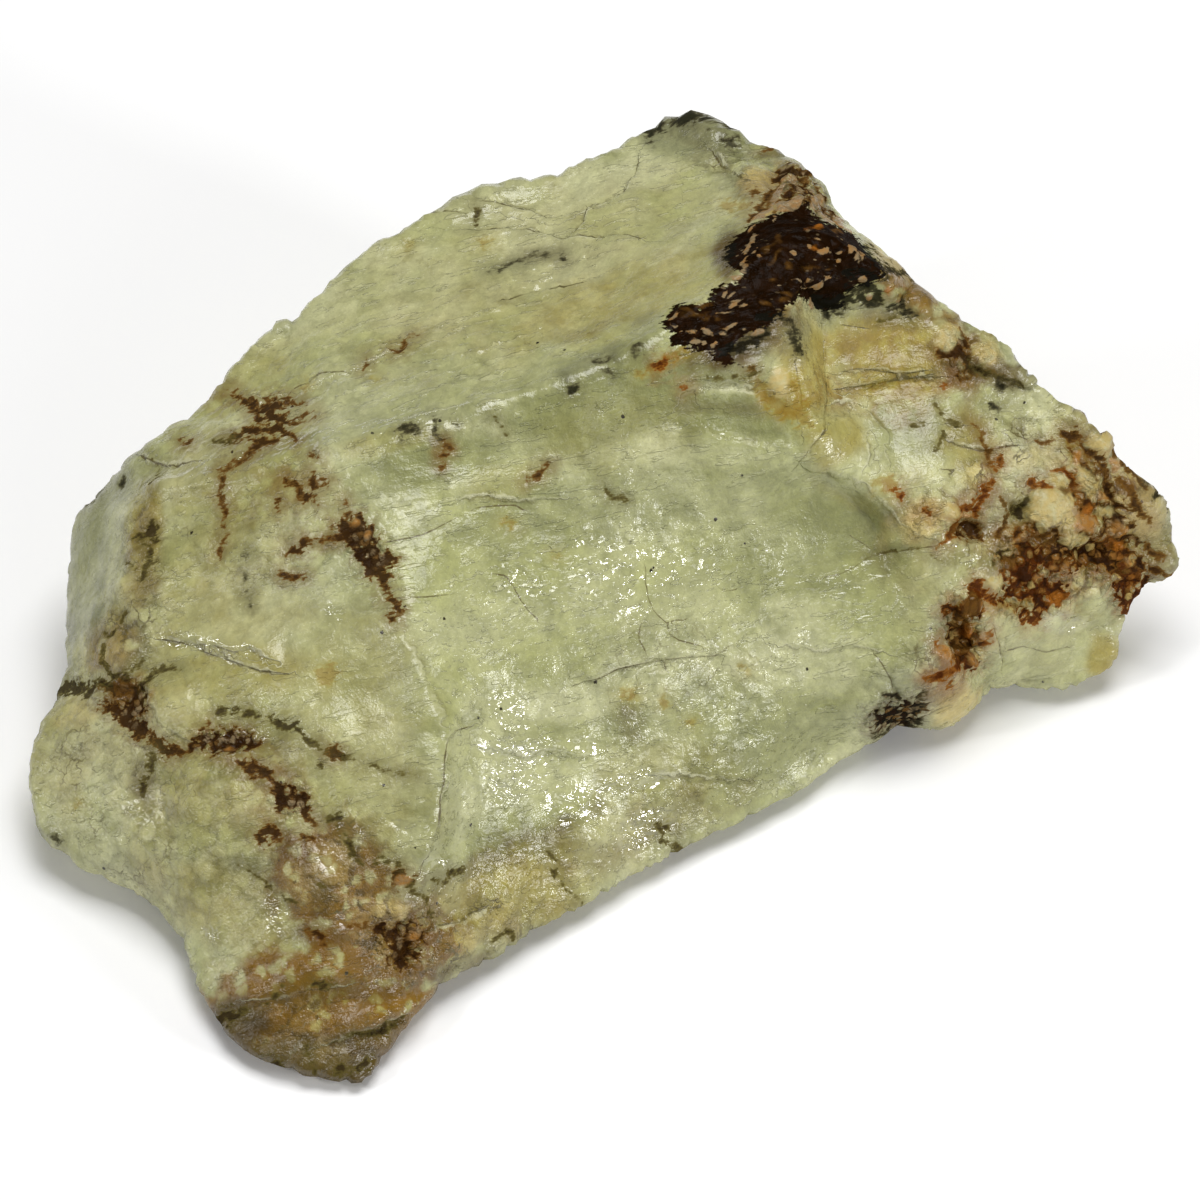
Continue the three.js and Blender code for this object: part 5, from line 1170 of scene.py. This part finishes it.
def green_body(tree, colours, field, pattern):
    """The green stone itself: clouds, layers, curds and nodules, the tints that soaked into it, and painted
    shade and highlight.
    """
    plate, curd = pattern["plates_number"], pattern["curds_number"]
    curdled = add(tree, "MapRange", (field["nodular"], 0.0, 0.5, 0.3, 1.0))
    dirty_curds = product(tree, pattern["curds"], field["nodular"], pattern["puffs"])
    colour = tinted(tree, colours.green, (
        (colours.pale_green, pattern["clouds"], 0.36, 0.66, 1.0),
        (colours.glassy_green_and_shade, pattern["mottle"], 0.5, 0.76, 0.7),
        (colours.pale_green, plate[0], 0.4, 0.9, 0.22),
        (colours.glassy_green_and_shade, plate[1], 0.45, 0.95, 0.2),
        (colours.glassy_green_and_shade, product(tree, pattern["curds"], curdled), 0.3, 0.7, 0.6),
        (colours.pale_green, product(tree, curd[2], curdled), 0.4, 0.8, 0.6),
        (colours.olive, dirty_curds, 0.12, 0.36, 0.5),
        # The dashes' paler green: crushed scarp edges, and also a painted highlight on them.
        (colours.pale_green, pattern["dashes"], 0.0, 1.0, 0.6),
    ))
    uneven = add(tree, "MapRange", (pattern["mottle"], 0.25, 0.7, 0.65, 1.2))
    seeped = product(tree, uneven, add(tree, "MapRange", (pattern["curds"], 0.25, 0.6, 0.35, 1.35)))
    # Soaked-in tints. The glassy, grey and murk tints also lay painted shade, the cloud tint painted sheen.
    colour = tinted(tree, colour, [
        (tint, product(tree, field[name], seeped if name == "tan" else uneven), 0.0, 1.0, 1.0)
        for name, tint in (
            ("glassy_and_shade", colours.glassy_green_and_shade),
            ("cloud_and_sheen", colours.pale_green),
            ("lemon", colours.lemon),
            ("tan", colours.tan),
            ("grey_and_shade", colours.smoke_and_shade),
            ("murk_and_shade", colours.murk_and_shade),
            ("cream", colours.cream),
        )
    ])
    # Light and shade within the stone: pale curds in darker seams where it is curdled, and grain down to
    # 0.3 mm.
    gap = add(tree, "MapRange", (pattern["curds"], 0.25, 0.75, 0.0, 1.0), **EASED)
    tone = add(tree, "Math", (product(tree, gap, curdled), -0.26, 1.07), operation="MULTIPLY_ADD")
    for number, light, shade in (
        (curd[1], 0.95, 1.05),
        (pattern["mottle"], 1.06, 0.92),
        (pattern["fine"], 1.08, 0.91),
        (pattern["tiny"], 1.07, 0.93),
    ):
        tone = product(tree, tone, add(tree, "MapRange", (number, 0.3, 0.7, light, shade)))
    colour = add(tree, "VectorMath", {"Vector": colour, "Scale": tone}, operation="SCALE")
    # Nodules: each a little paler or darker than the next, with a dirty seam around it.
    pale = add(tree, "MapRange", (field["nodule_tint"], 0.35, 1.0, 0.0, 0.55))
    seam = add(tree, "Math", (pattern["fine"], 0.9, field["nodule_wall"]), operation="MULTIPLY_ADD")
    seam = add(tree, "MapRange", (seam, 0.7, 0.4, 0.0, 1.0), **EASED)
    come_and_go = add(tree, "MapRange", (pattern["puffs"], 0.42, 0.66, 0.0, 1.0), **EASED)
    come_and_go = product(tree, come_and_go, add(tree, "MapRange", (field["clean"], 0.0, 0.8, 1.0, 0.3)))
    net = add(tree, "MapRange", (pattern["net"], 0.07, 0.015, 0.0, 0.85), **EASED)
    here = add(tree, "MapRange", (field["nodular"], 0.0, 0.7, 0.25, 1.0))
    colour = tinted(tree, colour, (
        (colours.cream, product(tree, pale, field["nodular"]), 0.0, 1.0, 1.0),
        (colours.olive, product(tree, seam, field["nodular"], come_and_go), 0.05, 0.8, 0.9),
        (colours.olive, product(tree, net, here, come_and_go), 0.0, 1.0, 1.0),
    ))
    # The steps' edges: a whitish crushed rim, also painted highlight on the lip, and painted shade along the
    # foot.
    edge = add(tree, "Math", (pattern["fine"], 1.0, field["scarp"]), operation="MULTIPLY_ADD")
    here_and_there = add(tree, "MapRange", (pattern["mottle"], 0.4, 0.6, 0.1, 0.8))
    for tint, place, outer, inner, most in (
        (colours.chalk_and_highlight, 0.65, 0.3, 0.1, 0.6),
        (colours.murk_and_shade, 0.3, 0.22, 0.08, 0.25),
    ):
        away = add(tree, "Math", (edge, place), operation="SUBTRACT")
        away = add(tree, "Math", (away,), operation="ABSOLUTE")
        band = add(tree, "MapRange", (away, outer, inner, 0.0, 1.0), **EASED)
        colour = tinted(tree, colour, ((tint, product(tree, band, here_and_there), 0.0, 1.0, most),))
    dirty_seam = product(tree, seam, field["tan"], field["nodular"])
    colour = tinted(tree, colour, ((colours.murk_and_shade, dirty_seam, 0.05, 0.6, 0.75),))
    # Drawn hairlines: about 0.2 mm wide, their filling broken up. Along the steps they also paint the edge's
    # shadow.
    gap = add(tree, "Math", (field["crack_side"],), operation="ABSOLUTE")
    gap = add(tree, "Math", (pattern["fine"], 0.22, gap), operation="MULTIPLY_ADD")
    line = add(tree, "MapRange", (gap, 0.27, 0.13, 0.0, 1.0), **EASED)
    near = add(tree, "MapRange", (field["crack_near"], 0.9, 0.5, 0.0, 1.0))
    filled = add(tree, "MapRange", (pattern["mottle"], 0.36, 0.58, 0.25, 0.9))
    # Specks of manganese and iron, 0.3 to 0.6 mm.
    specks = add(tree, "TexVoronoi", {"Vector": pattern["sheet"], "Scale": 1 / 3.8}).node.outputs
    sparse = add(tree, "SeparateColor", (specks["Color"],))
    dot = add(tree, "Math", (pattern["tiny"], 0.1, specks["Distance"]), operation="MULTIPLY_ADD")
    dot = add(tree, "MapRange", (dot, 0.125, 0.095, 0.0, 1.0), **EASED)
    chosen = add(tree, "MapRange", (sparse, 0.55, 0.6, 0.0, 1.0))
    return tinted(tree, colour, (
        (colours.olive, product(tree, line, near, filled), 0.0, 1.0, 1.0),
        (colours.murk_dark, product(tree, dot, chosen), 0.0, 1.0, 1.0),
    ))


def stained(tree, colours, field, pattern, colour):
    """The stains over the stone. They follow the gaps between crumbs and leave the crumbs cleaner."""
    gaps = add(tree, "MapRange", (pattern["crumbs"], 0.3, 0.66, -0.55, 0.75))
    creep = product(tree, gaps, add(tree, "MapRange", (field["pebbly"], 0.1, 0.8, 0.5, 1.0)))
    creep = add(tree, "Math", (creep, pattern["fray"]), operation="ADD")
    creep = product(tree, creep, add(tree, "MapRange", (field["brush"], 0.15, 0.8, 0.3, 1.0)))
    cover = None
    for name, thin, thick, halo, soft, most in (
        ("ochre", colours.ochre, colours.ochre_dark, 0.15, 0.4, 0.5),
        ("rust", colours.rust_orange, colours.rust, 0.4, 0.12, 0.96),
        ("maroon", colours.maroon_light, colours.maroon, 0.4, 0.15, 0.95),
        ("olive", colours.olive, colours.olive_dark, 0.35, 0.15, 0.9),
        ("manganese", colours.smoke_dark, colours.manganese, 0.35, 0.25, 0.9),
    ):
        inside = add(tree, "Math", (field[name], creep), operation="ADD")
        core = tinted(tree, thin, ((thick, inside, 0.0, 0.55, 1.0),))
        share = add(tree, "MapRange", (inside, -soft, soft, 0.0, most), **EASED)
        colour = tinted(tree, colour, ((thin, inside, -2.0, 0.1, halo),))
        colour = add(tree, "Mix", (share, colour, core), data_type="RGBA")
        cover = share if cover is None else add(tree, "Math", (cover, share), operation="MAXIMUM")
    # Crumbs in the stained seams: pinkish, orange and brown, each one its own shade.
    number = pattern["crumbs_number"]
    rusty = add(tree, "MapRange", (field["rust"], -2.0, 0.0, 0.3, 1.0))
    crumb = tinted(tree, colours.chip, (
        (colours.pebble_pink, rusty, 0.3, 1.0, 0.9),
        (colours.cream, product(tree, number[2], rusty), 0.4, 0.75, 0.8),
        (colours.rust_orange, product(tree, number[0], rusty), 0.5, 0.7, 0.85),
        (colours.maroon_light, number[1], 0.5, 0.75, 0.9),
        (colours.murk_dark, pattern["tiny"], 0.5, 0.75, 0.5),
    ))
    round_middle = add(tree, "MapRange", (pattern["crumbs"], 0.56, 0.34, 0.0, 1.0), **EASED)
    pebbly = add(tree, "MapRange", (field["pebbly"], 0.2, 0.7, 0.05, 1.0))
    # Painted shade: the gaps between crumbs in stained, pebbly seams are darkened, as shade falls in them.
    between = add(tree, "MapRange", (pattern["crumbs"], 0.56, 0.7, 0.0, 0.7))
    shaded_gaps = product(tree, between, cover, pebbly)
    colour = tinted(tree, colour, ((colours.breccia_red_and_gap_shade, shaded_gaps, 0.0, 1.0, 1.0),))
    present = add(tree, "MapRange", (number[2], 0.1, 0.3, 0.0, 0.9))
    shown = product(tree, round_middle, cover, pebbly, present)
    return add(tree, "Mix", (shown, colour, crumb), data_type="RGBA"), cover


def breccia_over(tree, colours, field, pattern, colour):
    """The iron breccia: a chocolate matrix with flattened pale flecks too small to be drawn as grains."""
    edge = add(tree, "Math", (pattern["fray"], 0.8, field["breccia"]), operation="MULTIPLY_ADD")
    matrix = add(tree, "MapRange", (edge, -0.15, 0.15, 0.0, 1.0), **EASED)
    # Flecks: cells 0.8 mm wide, pressed flat to 1.4 by 0.4 mm along the bed.
    bed = {"Vector": pattern["sheet"], "Rotation": (0, 0, math.radians(-22)), "Scale": (0.55, 1.9, 1.2)}
    flat = add(tree, "Mapping", bed)
    flecks = add(tree, "TexVoronoi", {"Vector": flat, "Scale": 1.3}).node.outputs
    number = add(tree, "SeparateColor", (flecks["Color"],)).node.outputs
    fleck = add(tree, "Math", (pattern["fine"], 0.35, flecks["Distance"]), operation="MULTIPLY_ADD")
    fleck = add(tree, "MapRange", (fleck, 0.5, 0.36, 0.0, 1.0), **EASED)
    fleck = product(tree, fleck, add(tree, "MapRange", (number[0], 0.62, 0.95, 0.0, 0.85)))
    fleck = product(tree, fleck, add(tree, "MapRange", (pattern["mottle"], 0.4, 0.6, 0.25, 1.0)))
    iron = tinted(tree, colours.breccia, (
        (colours.breccia_red_and_gap_shade, pattern["fine"], 0.42, 0.75, 0.8),
        (colours.breccia_red_and_gap_shade, pattern["mottle"], 0.45, 0.7, 0.7),
        (colours.chip, fleck, 0.0, 1.0, 0.75),
    ))
    film = add(tree, "Math", (field["manganese"], pattern["fray"]), operation="ADD")
    iron = tinted(tree, iron, ((colours.manganese, film, -0.1, 0.2, 0.95),))
    return add(tree, "Mix", (matrix, colour, iron), data_type="RGBA"), matrix


def grains_over(tree, colours, field, pattern, colour):
    """The drawn grains and nodules, which stand in front of stains and breccia."""
    fray = add(tree, "Math", (pattern["fray"], 0.16), operation="MULTIPLY")
    for name, tint, shade, most in (
        ("dim_grains", colours.maroon_light, colours.maroon, 0.75),
        ("pale_grains", colours.chip, colours.pebble_pink, 0.85),
        ("orange_grains", colours.orange_grain, colours.rust_orange, 0.85),
        ("pink_grains", colours.pebble_pink, colours.chip, 0.75),
        ("cream_grains", colours.cream, colours.pale_green, 0.7),
    ):
        inside = add(tree, "Math", (field[name], fray), operation="ADD")
        own = tinted(tree, tint, ((shade, pattern["fine"], 0.4, 0.7, 0.7),))
        soft = 0.06 if name == "pale_grains" else 0.25
        share = add(tree, "MapRange", (inside, -soft, soft, 0.0, most), **EASED)
        colour = add(tree, "Mix", (share, colour, own), data_type="RGBA")
    return colour


def fine_relief(tree, field, pattern):
    """The finest relief, in millimetres: scarps along the streaks, wavy wet breaks, crumbs and grit."""
    broken = add(tree, "MapRange", (field["clean"], 0.0, 0.8, 1.0, 0.25))
    lumpy = add(tree, "Math", (field["nodular"], field["pebbly"]), operation="MAXIMUM")
    dry = add(tree, "MapRange", (field["wet"], 0.0, 0.7, 1.0, 0.2))
    gritty = product(tree, add(tree, "MapRange", (lumpy, 0.1, 0.8, 0.12, 0.45)), dry)
    # Wet breaks: curling waves 3 mm long and 0.9 mm wide, running down to the right, in groups.
    slant = {"Vector": pattern["sheet"], "Rotation": (0, 0, math.radians(42)), "Scale": (0.3, 1, 1)}
    slanted = add(tree, "Mapping", slant)
    waves = add(tree, "TexNoise", {"Vector": slanted, "Scale": 1 / 0.9, "Detail": 1.0, "Distortion": 0.6})
    group = add(tree, "MapRange", (pattern["mottle"], 0.44, 0.56, 0.3, 1.0))
    dome = add(tree, "MapRange", (pattern["crumbs"], 0.6, 0.1, 0.0, 1.0))
    height = product(tree, dome, add(tree, "MapRange", (field["pebbly"], 0.1, 0.7, 0.02, 0.5)))
    ripples = add(tree, "MapRange", (waves, 0.3, 0.7, 0.0, 1.0), **EASED)
    edge = add(tree, "Math", (pattern["fine"], 1.0, field["scarp"]), operation="MULTIPLY_ADD")
    edge = add(tree, "MapRange", (edge, 0.3, 0.7, 0.0, 1.0), **EASED)
    for part, most in (
        (edge, 0.15),
        (product(tree, pattern["dashes"], broken), 0.12),
        (product(tree, pattern["streaks"], broken, dry), 0.14),
        (product(tree, ripples, field["wet"], group), 0.19),
        (product(tree, pattern["fine"], gritty), 1.0),
        (product(tree, pattern["tiny"], dry), 0.05),
    ):
        height = add(tree, "Math", (part, most, height), operation="MULTIPLY_ADD")
    return add(tree, "Bump", {"Height": height, "Strength": 1.0, "Distance": MM})


def stone_material(colours):
    """Lemon chrysoprase, a nickel-bearing magnesite and chalcedony, as its breaks left it.

    The eye gets a waxy pale lemon green, clouded and netted with olive hairlines, with chalky nodules,
    rusty seams between them, a dark iron breccia full of pale chips, and small wet-looking glints on the
    breaks.
    """
    material = bpy.data.materials.new("broken_lemon_chrysoprase")
    material.use_nodes = True
    tree = material.node_tree
    tree.nodes.clear()
    field = kept_fields(tree)
    pattern = stone_patterns(tree)
    colour = green_body(tree, colours, field, pattern)
    colour, stain = stained(tree, colours, field, pattern, colour)
    colour, matrix = breccia_over(tree, colours, field, pattern, colour)
    colour = grains_over(tree, colours, field, pattern, colour)
    relief = fine_relief(tree, field, pattern)

    # Gloss: the clean breaks are waxy and almost wet; the stains, the breccia and the chalky nodules are
    # dull.
    dull = add(tree, "Math", (stain, matrix), operation="MAXIMUM")
    dull = add(tree, "MapRange", (dull, 0.05, 0.6, 0.0, 0.94))
    gloss = add(tree, "MapRange", (pattern["mottle"], 0.35, 0.65, 0.15, 0.32))
    chalky = add(tree, "Math", (field["cream"], 0.15, gloss), operation="MULTIPLY_ADD")
    wet = add(tree, "MapRange", (field["wet"], 0.1, 0.7, 0.0, 1.0))
    gloss = add(tree, "Mix", (wet, chalky, 0.11))
    waxy = add(tree, "BsdfPrincipled", {
        "Base Color": colour,
        "Roughness": gloss,
        "IOR": 1.54,
        "Coat Weight": wet,
        "Coat Roughness": 0.08,
        "Coat IOR": 1.6,
        "Coat Normal": relief,
        "Normal": relief,
    })
    earthy = add(tree, "BsdfPrincipled", {
        "Base Color": colour,
        "Roughness": add(tree, "MapRange", (pattern["fine"], 0.3, 0.7, 0.4, 0.65)),
        "IOR": 1.5,
        "Specular IOR Level": 0.0,
        "Normal": relief,
    })
    shader = add(tree, "MixShader", (dull, waxy, earthy))
    add(tree, "OutputMaterial", {"Surface": shader})
    return material


def floor_material(colours):
    """Matt white card: a plain pale ground, with waves that are too faint to show as shade."""
    material = bpy.data.materials.new("matt_white_card")
    material.use_nodes = True
    tree = material.node_tree
    tree.nodes.clear()
    # The scale counts waves over the whole card, so each is about 7 mm wide.
    waves = add(tree, "TexNoise", {"Scale": 900.0, "Detail": 2.0})
    bump = add(tree, "Bump", {"Height": waves, "Strength": 0.05, "Distance": 0.2 * MM})
    inputs = {"Base Color": colours.card, "Roughness": 0.9, "Specular IOR Level": 0.1, "Normal": bump}
    add(tree, "OutputMaterial", {"Surface": add(tree, "BsdfPrincipled", inputs)})
    return material


def hue(name, about, code):
    """A colour that the user can change, with its default written as sRGB hex."""
    limits = {"size": 4, "min": 0, "max": 1, "subtype": "COLOR"}
    return FloatVectorProperty(name=name, description=about, default=linear(code), **limits)


def measure(name, about, millimetres):
    """A length that the user can change, with its default written in millimetres."""
    return FloatProperty(name=name, description=about, default=millimetres * MM, unit="LENGTH")


class StoneSizes(bpy.types.PropertyGroup):
    """Sizes of the stone's fine relief."""

    fineness: IntProperty(
        name="Fineness",
        description="How often the skin is halved: the show side, then its small marks",
        default=2,
        min=0,
        max=2,
    )
    wear: IntProperty(
        name="Wear",
        description="Rounds of rubbing where folds are worn soft",
        default=26,
        min=0,
        max=60,
    )
    fullness: measure("Fullness", "How far the skin fills out where its rounding drew it in", 0.7)
    scale_height: measure("Scale height", "Drop at the end of a scale", 0.5)
    nodule_width: measure("Nodule width", "Typical chalky nodule", 4.6)
    nodule_height: measure("Nodule height", "How far nodules stand proud", 0.6)
    pebble_width: measure("Pebble width", "Typical rusty pebble", 1.8)
    pebble_height: measure("Pebble height", "How far pebbles stand proud", 0.45)
    vein_depth: measure("Vein depth", "How far the stained veins are weathered back", 0.22)


class StoneColours(bpy.types.PropertyGroup):
    """Colours of the stone's minerals and of the card that it stands on; some also lay painted shade and
    highlight.
    """

    # Whitish crushed rims, also laid as painted highlight along the steps' lips.
    chalk_and_highlight: hue("Chalk", "Crushed rims of the broken steps", "#D2D0AC")
    green: hue("Green", "Body of the stone", "#A1A36C")
    # Also painted sheen on the front's rough ground and painted highlight on the scarps' dashes.
    pale_green: hue("Pale green", "Cloudy magnesite", "#B8B88C")
    # Also painted shade on a flat plate and under a scar's step.
    glassy_green_and_shade: hue("Glassy green", "Clear chalcedony", "#848655")
    lemon: hue("Lemon", "Yellow-olive tint", "#958636")
    tan: hue("Tan", "Clay and iron soaked in", "#7A5A16")
    # Smoky stain, also painted shade and sheen on the steep left side.
    smoke_and_shade: hue("Smoke", "Grey of the steep side and the peak", "#8C8D66")
    smoke_dark: hue("Dark smoke", "Edge of a manganese film", "#47422E")
    # Brown-olive dirt in seams and round the veins, also painted shade on the tip and under the steps.
    murk_and_shade: hue("Murk", "Brown-olive shade", "#4C3907")
    murk_dark: hue("Dark speck", "Small specks", "#2C2613")
    cream: hue("Cream", "Chalky nodules", "#B8A464")
    olive: hue("Olive", "Thin crack filling", "#5A5128")
    olive_dark: hue("Dark olive", "Thick crack filling", "#352B18")
    ochre: hue("Ochre", "Thin limonite", "#9A8834")
    ochre_dark: hue("Dark ochre", "Thick limonite", "#8A6A1A")
    rust_orange: hue("Orange rust", "Thin rust", "#83501A")
    rust: hue("Rust", "Thick rust", "#4C2103")
    maroon_light: hue("Light maroon", "Thin iron stain", "#69491D")
    maroon: hue("Maroon", "Thick iron stain", "#361F09")
    pebble_pink: hue("Pink pebble", "Pinkish magnesite grains", "#A47335")
    manganese: hue("Manganese", "Black films and dots", "#12110B")
    breccia: hue("Breccia", "Iron breccia's matrix", "#150901")
    # Also painted shade in the gaps between crumbs.
    breccia_red_and_gap_shade: hue("Light breccia", "Redder flecks in the matrix", "#231205")
    chip: hue("Chip", "Pale chips in the breccia", "#8F7C5C")
    orange_grain: hue("Orange grain", "Limonite grains in the breccia", "#A0611F")
    card: hue("Card", "White card under the stone", "#FCFCFC")


class STONE_OT_stone(bpy.types.Operator):
    """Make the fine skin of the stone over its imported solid"""

    bl_idname = "chrysoprase.stone"
    bl_label = "Stone"

    def execute(self, context):
        scene = context.scene
        fewest_faces = 1000
        mesh = rounded_skin(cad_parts["stone"])
        if len(mesh.polygons) < fewest_faces:
            raise RuntimeError("the packed stone has too few faces to carve")
        halved_where_marked(mesh, scene.stone_sizes.fineness)
        shape_stone(mesh, scene.stone_sizes)
        mesh.name = "raw_stone"
        mesh.materials.clear()
        mesh.materials.append(stone_material(scene.stone_colours))
        stone = bpy.data.objects.new("raw_stone", mesh)
        scene.collection.objects.link(stone)
        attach(stone, "root")
        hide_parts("stone")
        return {"FINISHED"}


# Camera: straight in front, looking down square to the sheet, far off with a long lens. Distance and width
# of view are in metres, and the sensor's width in millimetres.
CAMERA_DISTANCE = 2.5
FRAME_WIDTH = 0.150
SENSOR_WIDTH = 36.0

# Half the side of the card under the stone, in metres.
CARD_REACH = 3

# Lamps: name, turn from the front in degrees (right is positive), height angle, distance, width and height
# in metres, and power in watts.
LAMPS = [
    ("overhead_softbox", 150, 82, 1.0, 0.6, 0.6, 7.9),
    ("front_softbox", 25, 32, 1.3, 0.5, 0.35, 1.5),
    ("right_window", 62, 18, 1.2, 0.2, 0.22, 5.6),
    ("left_window", -68, 40, 1.2, 0.14, 0.16, 2.1),
    ("side_window", -88, 18, 1.2, 0.12, 0.13, 1.1),
]
SKY_STRENGTH = 0.15


class STONE_OT_stage(bpy.types.Operator):
    """Make the white card, the lamps, the pale surroundings and the camera"""

    bl_idname = "chrysoprase.stage"
    bl_label = "Stage"

    def execute(self, context):
        scene = context.scene
        middle = Vector(SHEET_MIDDLE) * MM
        plane = bmesh.new()
        bmesh.ops.create_grid(plane, x_segments=8, y_segments=8, size=CARD_REACH)
        mesh = bpy.data.meshes.new("card")
        plane.to_mesh(mesh)
        plane.free()
        mesh.materials.append(floor_material(scene.stone_colours))
        card = bpy.data.objects.new("card", mesh)
        scene.collection.objects.link(card)

        for name, turn, lift, distance, width, height, power in LAMPS:
            data = bpy.data.lights.new(name, "AREA")
            data.shape = "RECTANGLE"
            data.size = width
            data.size_y = height
            data.energy = power
            lamp = bpy.data.objects.new(name, data)
            turn, lift = math.radians(turn), math.radians(lift)
            level = math.cos(lift)
            way = Vector((math.sin(turn) * level, -math.cos(turn) * level, math.sin(lift)))
            lamp.location = middle + way * distance
            lamp.rotation_euler = way.to_track_quat("Z", "Y").to_euler()
            scene.collection.objects.link(lamp)

        world = bpy.data.worlds.new("pale_room")
        world.use_nodes = True
        world.node_tree.nodes.clear()
        sky = add(world.node_tree, "Background", {"Color": linear("#FFFFFF"), "Strength": SKY_STRENGTH})
        add(world.node_tree, "OutputWorld", {"Surface": sky})
        scene.world = world
        scene.view_settings.view_transform = "Standard"

        data = bpy.data.cameras.new("front_camera")
        data.sensor_width = SENSOR_WIDTH
        data.lens = SENSOR_WIDTH * CAMERA_DISTANCE / FRAME_WIDTH
        camera = bpy.data.objects.new("front_camera", data)
        way = Vector(SHEET_OUT)
        camera.location = middle + way * CAMERA_DISTANCE
        camera.rotation_euler = way.to_track_quat("Z", "Y").to_euler()
        scene.collection.objects.link(camera)
        scene.camera = camera
        return {"FINISHED"}


class STONE_PT_panel(bpy.types.Panel):
    """The stone's sizes and colours, and the buttons that make it"""

    bl_label = "Raw lemon chrysoprase"
    bl_space_type = "VIEW_3D"
    bl_region_type = "UI"
    bl_category = "Stone"

    def draw(self, context):
        layout = self.layout
        for group in (context.scene.stone_sizes, context.scene.stone_colours):
            box = layout.box()
            for name in group.__annotations__:
                box.prop(group, name)
        layout.operator("chrysoprase.stone")
        layout.operator("chrysoprase.stage")


CLASSES = (StoneSizes, StoneColours, STONE_OT_stone, STONE_OT_stage, STONE_PT_panel)


def register():
    for cls in CLASSES:
        bpy.utils.register_class(cls)
    bpy.types.Scene.stone_sizes = PointerProperty(type=StoneSizes)
    bpy.types.Scene.stone_colours = PointerProperty(type=StoneColours)


def unregister():
    del bpy.types.Scene.stone_colours
    del bpy.types.Scene.stone_sizes
    for cls in reversed(CLASSES):
        bpy.utils.unregister_class(cls)


def main():
    register()
    bpy.ops.chrysoprase.stone()
    bpy.ops.chrysoprase.stage()


if __name__ == "__main__":
    main()
